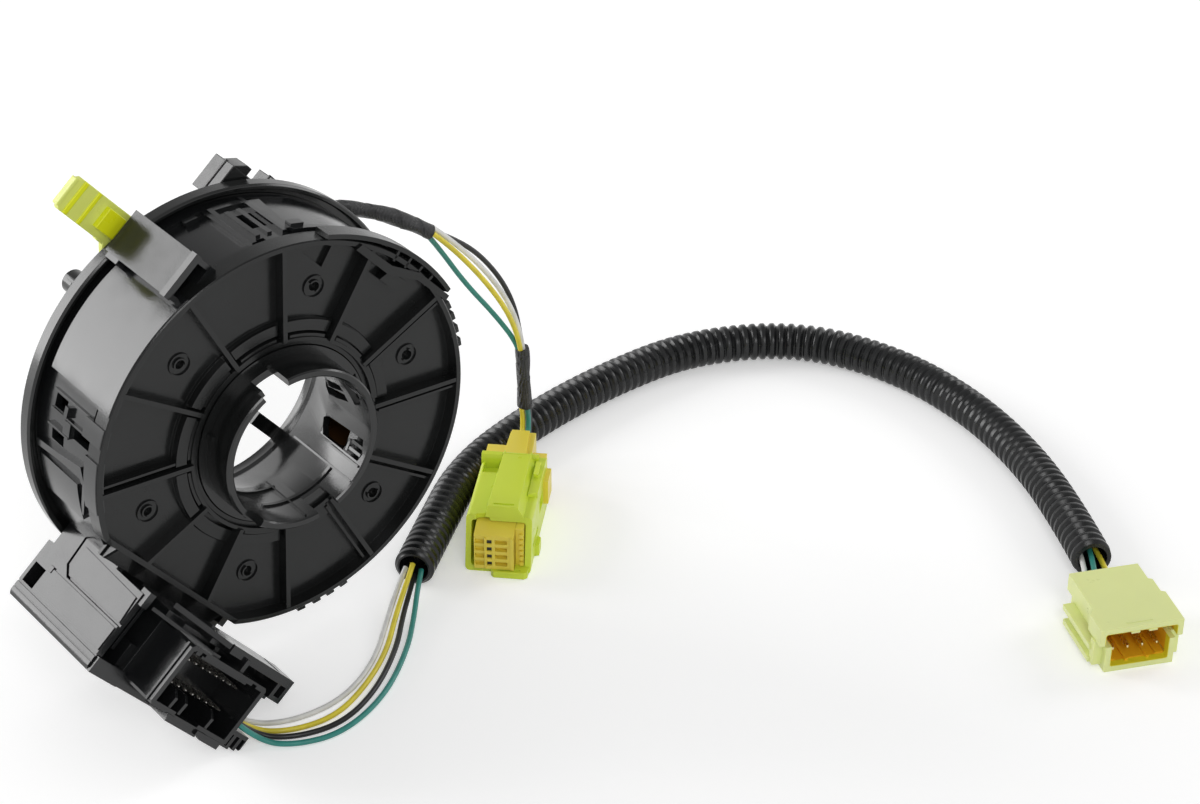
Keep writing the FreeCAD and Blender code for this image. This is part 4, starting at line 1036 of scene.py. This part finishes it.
def block():
    """The socket block: grooved flank, open step, socket shell, rails, guard and clips."""
    outline = [
        (BLOCK_FOOT, -32.6), (-58.0, -32.6), (-58.0, BOX_BACK), (BLOCK_TOP, BOX_BACK),
        (BLOCK_TOP, 7.5), (BLOCK_FOOT, 7.5),
    ]
    body = Form().sideways(outline, -13.0, 29.0)
    cut = Form()
    cut.boxes(
        ((-14.0, -70.1, -31.3), (-9.0, -64.3, -26.2)), ((-14.0, -51.8, -5.8), (30.0, -46.0, 9.0)),
    )
    seam = [
        (-46.0, -22.5), (-59.4, -21.5), (-61.9, -18.5), (-61.9, 9.0), (-61.2, 9.0), (-61.2, -18.2),
        (-59.0, -20.7), (-46.0, -21.8),
    ]
    cut.sideways(seam, -14.0, -12.2)
    for x in (5.2, 13.4, 21.6):
        cut.box((x, -73.6, -33.5), (x + 6.2, -61.0, -31.4))
    cut.box((-8.0, -73.6, -33.5), (2.8, -66.0, -31.4))
    cut.prism([(-13.6, -73.9), (-13.0, -73.9), (-12.0, -75.4), (-13.6, -75.4)], -33.0, 9.0)
    cut.boxes(
        ((-10.9, -70.8, -9.0), (-2.4, -50.2, 9.0)), ((8.0, -76.0, -27.0), (26.4, -66.5, -1.0)),
        ((-6.5, -76.0, -27.0), (6.2, -66.5, -12.0)), ((30.0, -72.0, -26.0), (26.8, -50.0, -4.0)),
        ((-9.0, -71.0, -31.5), (4.0, -51.0, -25.0)), ((7.0, -71.0, -31.5), (25.0, -51.0, -25.0)),
        ((16.0, -49.6, -28.0), (27.0, -46.0, -2.0)), ((-13.6, -58.4, -14.0), (-12.7, -56.0, -12.8)),
        ((-13.6, -71.0, -33.0), (-12.7, -70.5, 8.0)), ((-13.6, -72.7, -33.0), (-12.85, -72.4, 8.0)),
    )
    form = body.carved(cut)
    panel = [(-61.0, -17.6), (-61.0, 7.4), (-53.6, 6.6), (-52.9, -19.4), (-58.8, -20.2)]
    form.sideways(panel, -13.35, -12.8)
    form.boxes(
        ((-13.3, -69.4, -24.6), (-12.8, -62.6, 7.2)),
        ((-13.5, -63.9, -25.6), (-12.8, -62.2, -23.8)), ((-12.6, -54.6, 5.8), (-10.4, -50.4, 9.2)),
        ((-12.4, -75.0, 7.0), (-2.0, -70.6, 8.6)), ((-7.0, -68.0, -8.0), (-6.0, -52.0, 4.0)),
        ((-4.4, -70.9, -4.0), (-2.2, -64.0, 6.0)),
    )
    for z in (-21.0, -15.0, -9.0):
        form.box((26.6, -71.8, z), (28.9, -50.2, z + 1.0))
    for x in (11.0, 17.0, 22.6):
        form.box((x, -74.9, -26.8), (x + 1.1, -66.7, -1.2))
    for x in (-3.0, 13.0, 19.0):
        form.box((x, -70.8, -30.2), (x + 1.1, -51.2, -25.2))

    # Socket shell with its keys and latch
    outline = [
        (-1.5, -71.2), (-0.7, -72.0), (28.2, -72.0), (29.0, -71.2), (29.0, -54.8), (28.2, -54.0),
        (-0.7, -54.0), (-1.5, -54.8),
    ]
    shell = Form().prism(outline, 6.5, 21.0)
    mouth = Form()
    mouth.boxes(
        ((-0.1, -70.6, 5.0), (27.6, -55.4, 22.0)), ((2.6, -56.0, 9.0), (4.2, -54.6, 22.0)),
        ((23.4, -56.0, 9.0), (25.0, -54.6, 22.0)), ((8.0, -71.4, 12.0), (17.0, -70.2, 22.0)),
    )
    form.join(shell.carved(mouth))
    form.box((-1.0, -71.6, 5.0), (28.6, -54.4, 6.9))
    key = [(-71.0, 8.0), (-71.0, 20.6), (-67.6, 20.8), (-66.0, 18.6), (-66.8, 8.0)]
    for x in (4.8, 8.8, 19.4):
        form.sideways(key, x, x + 1.0)
    form.boxes(
        ((0.6, -55.8, 8.0), (2.2, -55.0, 21.2)), ((4.6, -56.2, 8.0), (22.9, -55.3, 19.6)),
        ((6.6, -73.9, 11.0), (18.6, -71.8, 20.8)), ((5.6, -73.0, 17.6), (8.0, -71.8, 21.5)),
        ((17.4, -73.2, 15.0), (21.4, -71.8, 21.6)), ((20.0, -73.8, 19.6), (27.2, -71.8, 21.2)),
        ((-1.9, -71.8, 18.9), (-1.2, -54.2, 19.7)),
    )

    # Rails and the guard wall over the socket
    form.endways([(-7.0, 7.0), (-1.0, 7.2), (10.0, 19.4), (7.0, 19.6)], -54.2, -53.2)
    form.boxes(
        ((2.0, -53.4, 7.0), (13.0, -52.2, 10.4)), ((10.0, -52.6, 7.0), (22.0, -51.2, 13.0)),
        ((14.0, -51.6, 7.0), (17.0, -50.0, 14.5)), ((18.4, -54.1, 9.0), (19.8, -50.4, 19.4)),
    )
    guard = [(-1.5, 6.8), (12.0, 18.0), (36.6, 18.0), (36.6, 8.0), (29.5, 6.8)]
    form.endways(guard, -50.8, -49.3)
    form.endways([(13.0, 17.2), (36.8, 17.2), (36.8, 18.4), (12.6, 18.4)], -51.6, -49.1)
    bracket = Form().box((33.6, -56.2, 8.6), (38.2, -49.2, 18.2))
    hole = Form().box((34.8, -54.9, 12.0), (37.0, -51.4, 20.0))
    hole.box((35.4, -55.0, 11.0), (40.0, -51.6, 15.6))
    form.join(bracket.carved(hole))
    form.boxes(
        ((28.4, -57.2, 8.6), (35.0, -55.8, 16.4)), ((28.6, -61.0, 9.0), (31.0, -57.0, 15.0)),
        ((28.6, -56.0, 7.3), (34.2, -50.6, 9.5)),
    )

    # Foot clip and wire gland
    outline = [(28.4, -72.2), (35.9, -72.2), (36.8, -71.2), (36.8, -67.4), (28.4, -67.4)]
    clip = Form().prism(outline, 14.2, 18.8)
    teeth = Form()
    for x in (30.6, 32.9, 35.2):
        teeth.box((x, -73.0, 17.6), (x + 1.2, -68.6, 19.4))
    form.join(clip.carved(teeth))
    form.box((29.4, -73.0, 14.8), (34.6, -72.0, 17.2))
    gland = Form().box((28.4, -69.4, 8.4), (31.2, -62.6, 17.8))
    slots = Form()
    for number in range(4):
        slots.box((30.0, -67.2, 9.2 + 2.2 * number), (32.0, -65.0, 10.8 + 2.2 * number))
    form.join(gland.carved(slots))
    for z in (8.2, 17.2):
        form.box((28.2, -70.0, z), (31.6, -62.2, z + 0.9))
    piece(form, "block_shell", DRUM, "stator", PBT_BLOCK, ["socket_block"], 0.22)


def socket_terminals():
    """Two rows of square pins with pointed tips, set in the socket's dark floor."""
    form = Form()
    for across in (-58.6, -65.6):
        form.join(pattern(SOCKET_PINS, Count=9, Pitch=2.8, Side=0.72, Start=2.7, Across=across,
                          Low=6.6, High=15.0, Tip=0.8))
    piece(form, "terminal_pins", DRUM, "stator", TIN, ["socket_pins"], 0)


# Plugs, in their own frames


def rounded(low, high, radius, steps=5):
    """A rectangle with rounded corners, as an outline."""
    (x0, x1), (y0, y1) = [(p + radius, q - radius) for p, q in zip(low, high)]
    outline = []
    for cx, cy, start in ((x1, y0, -90), (x1, y1, 0), (x0, y1, 90), (x0, y0, 180)):
        for k in range(steps + 1):
            u, v = polar(radius, start + 90 * k / steps)
            outline.append((cx + u, cy + v))
    return outline


def slide():
    """The airbag plug's outer slide: shell, raised latch cover, shoulder, tongue and feet."""
    shell = Form().endways(rounded((-9.3, 0.0), (9.3, 16.2), 1.3), -3.8, 31.0)
    cut = Form()
    cut.endways(rounded((-7.7, 1.6), (7.5, 14.6), 0.8), -5.0, 15.0)
    cut.boxes(
        ((-8.2, 23.4, 14.4), (-3.8, 28.4, 18.0)), ((8.6, 3.0, 5.0), (10.0, 13.0, 6.4)),
        ((8.6, 16.0, 8.0), (10.0, 22.0, 12.0)), ((-10.0, 6.0, 4.0), (-8.7, 26.0, 5.6)),
        ((-10.0, 6.0, 9.6), (-8.7, 26.0, 11.2)), ((-5.0, 30.0, 2.0), (5.0, 32.0, 15.0)),
    )
    cut.prism([(-6.9, -5.0), (-6.3, 2.6), (-3.2, 3.4), (-2.2, 1.0), (-2.0, -5.0)], 13.0, 17.0)
    form = shell.carved(cut).trimmed((0, 2.2, 16.2), (0, -0.965, 0.262))
    cover = Form()
    base = [(-3.9, 1.8), (7.3, 1.8), (7.1, 31.0), (-3.5, 31.0)]
    crown = [(-3.3, 2.6), (5.2, 2.6), (5.0, 31.0), (-2.9, 31.0)]
    cover.prism(base, 15.6, 19.0, top=crown)
    slot = Form().box((-1.9, 3.6, 18.5), (4.0, 4.3, 20.0))
    slot.box((-2.6, 29.2, 18.2), (4.8, 32.0, 20.0))
    form.join(cover.carved(slot))
    form.prism([(6.6, 12.0), (9.3, 13.0), (9.3, 31.0), (6.4, 31.0)], 15.6, 17.3)
    form.prism([(7.0, 20.6), (8.3, 20.2), (8.3, 27.0), (7.0, 27.0)], 16.6, 18.6)
    shoulder = [(28.4, 14.0), (28.2, 17.4), (28.9, 18.7), (30.2, 18.9), (31.0, 17.8), (31.0, 14.0)]
    form.sideways(shoulder, -9.2, -3.2)
    lip = [(29.0, 14.0), (29.0, 18.2), (29.8, 18.9), (30.6, 18.6), (31.0, 17.8), (31.0, 14.0)]
    form.sideways(lip, -3.4, 7.2)
    tongue = Form().prism(
        [(-1.6, 1.0), (-1.6, -4.2), (-0.8, -5.0), (7.8, -5.0), (8.7, -4.2), (8.7, 1.0)], 0.1, 2.2
    )
    form.join(tongue.carved(Form().box((0.2, -4.3, 1.8), (6.6, -3.4, 3.0))))
    form.prism([(9.0, 6.4), (10.4, 7.0), (10.4, 11.0), (9.0, 12.0)], 0.1, 3.6)
    form.prism([(-9.0, 6.4), (-10.0, 7.0), (-10.0, 11.0), (-9.0, 12.0)], 0.1, 2.6)
    form.box((-9.6, 27.0, 2.0), (-8.9, 31.0, 14.0))
    piece(form, "airbag_slide", AIRBAG, "rotor", NYLON_LIME, ["airbag_plug"], 0.35, 3)


def insert():
    """The airbag plug's terminal insert with sockets, side teeth, neck and rear blocks."""
    outline = [(-3.9, 2.2), (-3.6, 13.2), (1.5, 14.4), (15.0, 14.4), (15.0, 2.2)]
    core = Form().sideways(outline, -6.3, 4.9)
    cut = Form()
    for number in range(4):
        low = 3.3 + 2.4 * number
        cut.boxes(
            ((-6.0, -6.0, low), (-3.5, -2.6, low + 1.5)),
            ((-2.7, -6.0, low), (-1.3, 9.0, low + 1.3)),
            ((-0.4, -6.0, low), (3.0, -2.2, low + 1.4)),
        )
    form = core.carved(cut)
    form.boxes(
        ((3.9, -4.3, 2.4), (4.9, -2.0, 13.0)), ((-3.3, -4.2, 2.4), (-2.9, -3.0, 12.6)),
    )
    # Near-black blocks filling the socket holes: painted shade, not contacts
    dark = Form()
    for number in range(4):
        low = 3.3 + 2.4 * number
        dark.box((-2.66, -3.3, low + 0.04), (-1.34, 8.8, low + 1.26))
    piece(dark, "insert_socket_shade", AIRBAG, "rotor", PBT_SOCKET_SHADE, bevel=0)
    form.box((5.0, -1.0, 1.7), (7.2, 15.0, 14.4))
    for number in range(6):
        form.box((6.2, -2.0, 2.6 + 1.85 * number), (7.3, 0.2, 3.7 + 1.85 * number))
    form.prism([(-3.3, 30.0), (4.9, 30.0), (4.5, 43.0), (-2.9, 43.0)], 5.0, 17.6)
    form.prism([(-3.1, 30.2), (3.4, 30.2), (2.7, 42.8), (-2.5, 42.8)], 17.2, 18.4)
    form.boxes(
        ((-5.5, 30.0, 5.0), (5.5, 38.0, 9.6)), ((-8.6, 30.6, 3.4), (-3.2, 36.6, 17.0)),
        ((-7.6, 36.2, 5.4), (-3.4, 38.2, 14.6)), ((4.2, 30.6, 3.0), (8.9, 34.6, 16.4)),
        ((8.4, 23.4, 6.6), (10.7, 30.4, 14.2)), ((8.6, 30.0, 8.4), (10.1, 32.0, 12.6)),
    )
    piece(form, "terminal_insert", AIRBAG, "rotor", NYLON_INSERT, ["airbag_insert"], 0.22)


def vehicle_shell():
    """The car-side plug: stepped top plate, narrower foot, mouth with a band of painted shade over its
    inner faces, rails and collar.
    """
    top = [
        (-11.8, 0.0), (11.8, 0.0), (11.8, 12.6), (10.7, 13.2), (10.7, 18.8),
        (9.6, 19.4), (9.6, 26.4), (-10.4, 26.4), (-10.4, 9.4), (-11.8, 8.2),
    ]
    body = Form().prism(top, 8.8, 14.0)
    lower = Form().box((-9.8, 0.0, 0.0), (9.8, 24.4, 9.4))
    cut = Form()
    cut.endways(rounded((-10.3, 8.2), (10.3, 12.5), 0.7), -1.0, 16.0)
    cut.endways(rounded((-8.3, 1.6), (8.3, 10.4), 0.7), -1.0, 16.0)
    form = body.carved(cut)
    form.join(lower.carved(cut))
    form.boxes(
        ((-2.8, 0.5, 11.3), (-0.4, 3.2, 12.7)), ((2.2, 0.5, 11.3), (4.6, 3.2, 12.7)),
    )
    rails = (
        (0.0, 4.0, 21.5, 1.2, 2.8), (0.0, 4.0, 22.5, 5.4, 7.0), (1.4, 4.6, 20.6, 2.4, 5.8),
        (0.6, 2.4, 4.6, 1.2, 8.9),
    )
    for side, edge in ((-1, 13.0), (1, 12.6)):
        for inset, first, last, low, high in rails:
            inner, outer = sorted((side * 9.6, side * (edge - inset)))
            form.box((inner, first, low), (outer, last, high))
    form.boxes(
        ((-7.4, 24.0, 1.4), (7.4, 26.4, 8.9)), ((-3.8, 1.7, 13.8), (3.4, 2.3, 14.15)),
    )
    shell = piece(form, "car_plug", VEHICLE, "stator", NYLON_PALE, ["vehicle_plug"], 0.32, 3)

    # A thin sheet over the hollow's walls and floor in deeper amber: painted shade of light bouncing and
    # shining through the nylon inside the hollow
    hollow_shade_sheet = Form()
    hollow_shade_sheet.endways(rounded((-10.28, 8.9), (10.28, 12.48), 0.7), 2.2, 15.9)
    hollow_shade_sheet.endways(rounded((-8.28, 2.4), (8.28, 10.0), 0.7), 2.2, 15.9)
    # A band over the mouth's inner faces in saturated yellow: painted shade of the same kind
    mouth_shade_band = Form()
    mouth_shade_band.endways(rounded((-10.28, 8.9), (10.28, 12.48), 0.7), 0.05, 2.2)
    mouth_shade_band.endways(rounded((-8.28, 1.62), (8.28, 10.0), 0.7), 0.05, 2.2)
    hollow = Form()
    hollow.endways(rounded((-10.12, 8.2), (10.12, 12.34), 0.6), -1.0, 15.6)
    hollow.endways(rounded((-8.12, 1.78), (8.12, 10.4), 0.6), -1.0, 15.6)
    hollow_shade_sheet = hollow_shade_sheet.carved(hollow)
    hollow_shade_sheet.box((-8.2, 2.2, 1.4), (8.2, 15.8, 1.8))
    for x in (-3.4, 2.6):
        hollow_shade_sheet.box((x, 1.4, 1.4), (x + 0.9, 15.8, 2.5))
    hollow_shade_sheet.boxes(
        ((-2.6, 2.3, 1.4), (2.8, 15.8, 2.1)), ((-8.2, 2.3, 1.4), (-6.0, 15.8, 2.3)),
        ((5.6, 2.3, 1.4), (8.2, 15.8, 2.3)),
    )
    inner = piece(hollow_shade_sheet, "car_plug_painted_hollow_shade", VEHICLE, "stator", NYLON_HOLLOW_SHADE, bevel=0)
    mouth = piece(mouth_shade_band.carved(hollow), "car_plug_painted_mouth_shade", VEHICLE, "stator", NYLON_MOUTH_SHADE,
                 bevel=0)
    return shell, inner, mouth


def vehicle_terminals():
    """Four flat blades with bevelled tips in the car-side plug."""
    form = Form()
    for number in range(4):
        x = (number - 1.5) * 4.2
        sides = ((-0.6, 15.8), (-0.6, 4.4), (-0.25, 3.2), (0.25, 3.2), (0.6, 4.4), (0.6, 15.8))
        blade = [(x + u, y) for u, y in sides]
        form.prism(blade, 4.5, 5.3)
    return piece(form, "car_plug_blades", VEHICLE, "stator", BRASS, ["vehicle_pins"], 0.1)


# Stage, light and camera

# Kept low, so that the floor still shows the object's shadow
FLOOR_GLOW = 0.34
FOCAL_LENGTH = 84.06
WORLD_STRENGTH = 0.78
# Heights in the sky and their grey: bright horizon, darker ceiling
SKY = ((0.0, 1.0), (0.35, 0.95), (0.62, 0.42), (1.0, 0.5))
LAMPS = (
    ("softbox", (-0.82, 1.12, 0.49), (0.0, 0.0, 0.0), (0.8, 1.0), 14.0),
    ("key", (-0.5, -1.2, 1.1), (0.05, 0.0, -0.03), (0.6, 0.6), 6.0),
    ("right", (1.3, -0.2, 0.6), (0.05, 0.0, -0.02), (0.5, 0.5), 3.0),
)


def seen_directly(tree):
    """One for rays that look at the background: straight, mirrored or through glass."""
    path = node(tree, "ShaderNodeLightPath").outputs
    direct = maths(tree, "MAXIMUM", path["Is Camera Ray"], path["Is Glossy Ray"])
    return maths(tree, "MAXIMUM", direct, path["Is Transmission Ray"])


def floor():
    """A white painted board that keeps the shadows and looks white to the camera."""
    mesh = bpy.data.meshes.new("floor")
    z = FLOOR * MM
    mesh.from_pydata([(-4, -4, z), (4, -4, z), (4, 4, z), (-4, 4, z)], [], [(0, 1, 2, 3)])
    o = new_object("floor", mesh)
    material, tree, shader, place = new_material("floor_white")
    blend(tree, shader, noise(tree, place, 330), shade("#EEEEEE"), shade("#F3F3F3"))
    shader.inputs["Roughness"].default_value = 0.9
    shader.inputs["Specular IOR Level"].default_value = 0.1
    shader.inputs["Emission Color"].default_value = (1.0, 1.0, 1.0, 1.0)
    glow = maths(tree, "MULTIPLY", seen_directly(tree), FLOOR_GLOW)
    tree.links.new(glow, shader.inputs["Emission Strength"])
    mesh.materials.append(material)


def studio():
    """A bright horizon under a darker ceiling, white at the horizon where it is looked at."""
    world = bpy.data.worlds.new("studio")
    bpy.context.scene.world = world
    world.use_nodes = True
    tree = world.node_tree
    back = tree.nodes["Background"]
    place = node(tree, "ShaderNodeTexCoord").outputs["Generated"]
    height = node(tree, "ShaderNodeSeparateXYZ", {"Vector": place}).outputs["Z"]
    fade = node(tree, "ShaderNodeValToRGB", {"Fac": height})
    while len(fade.color_ramp.elements) < len(SKY):
        fade.color_ramp.elements.new(0.5)
    for element, (at, value) in zip(fade.color_ramp.elements, SKY):
        element.position = at
        element.color = (value, value, value, 1.0)
    tone = fade.outputs["Color"]
    tree.links.new(tone, back.inputs["Color"])
    back.inputs["Strength"].default_value = WORLD_STRENGTH
    white = node(tree, "ShaderNodeBackground", {"Strength": 1.0, "Color": tone})
    shaders = {1: back.outputs[0], 2: white.outputs[0]}
    choose = node(tree, "ShaderNodeMixShader", {0: seen_directly(tree), **shaders})
    tree.links.new(choose.outputs[0], tree.nodes["World Output"].inputs["Surface"])


def lamp(name, place, aim, size, power):
    data = bpy.data.lights.new(name, "AREA")
    data.shape = "RECTANGLE"
    data.size, data.size_y = size
    data.energy = power
    o = new_object(name, data)
    o.location = place
    o.rotation_mode = "QUATERNION"
    o.rotation_quaternion = (Vector(aim) - Vector(place)).to_track_quat("-Z", "Y")


def camera():
    """The photograph's view, solved from the drum's circles."""
    data = bpy.data.cameras.new("photo_camera")
    data.sensor_width = 36.0
    data.lens = FOCAL_LENGTH
    data.clip_start = 0.01
    data.clip_end = 20.0
    o = new_object("photo_camera", data)
    o.location = (-0.30052, -0.51670, 0.38777)
    o.rotation_euler = (1.0037, 0.0, -0.6595)
    bpy.context.scene.camera = o


bpy.context.scene.view_settings.view_transform = "Standard"
camera()
floor()
studio()
for settings in LAMPS:
    lamp(*settings)
tube, conduit_length, tails = cords()
rear_cover()
drum()
sleeve()
plate()
lead_exit()
lock()
block()
socket_terminals()
slide()
insert()
car_plug_parts = vehicle_shell()
blades = vehicle_terminals()

fine_line, _ = read_line(CONDUIT_LINE, 1.0)

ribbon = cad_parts["flat_cable"]
if not ribbon.data.materials:
    ribbon.data.materials.append(POLYESTER)
for number in range(len(ribbon.material_slots)):
    ribbon.material_slots[number].material = POLYESTER
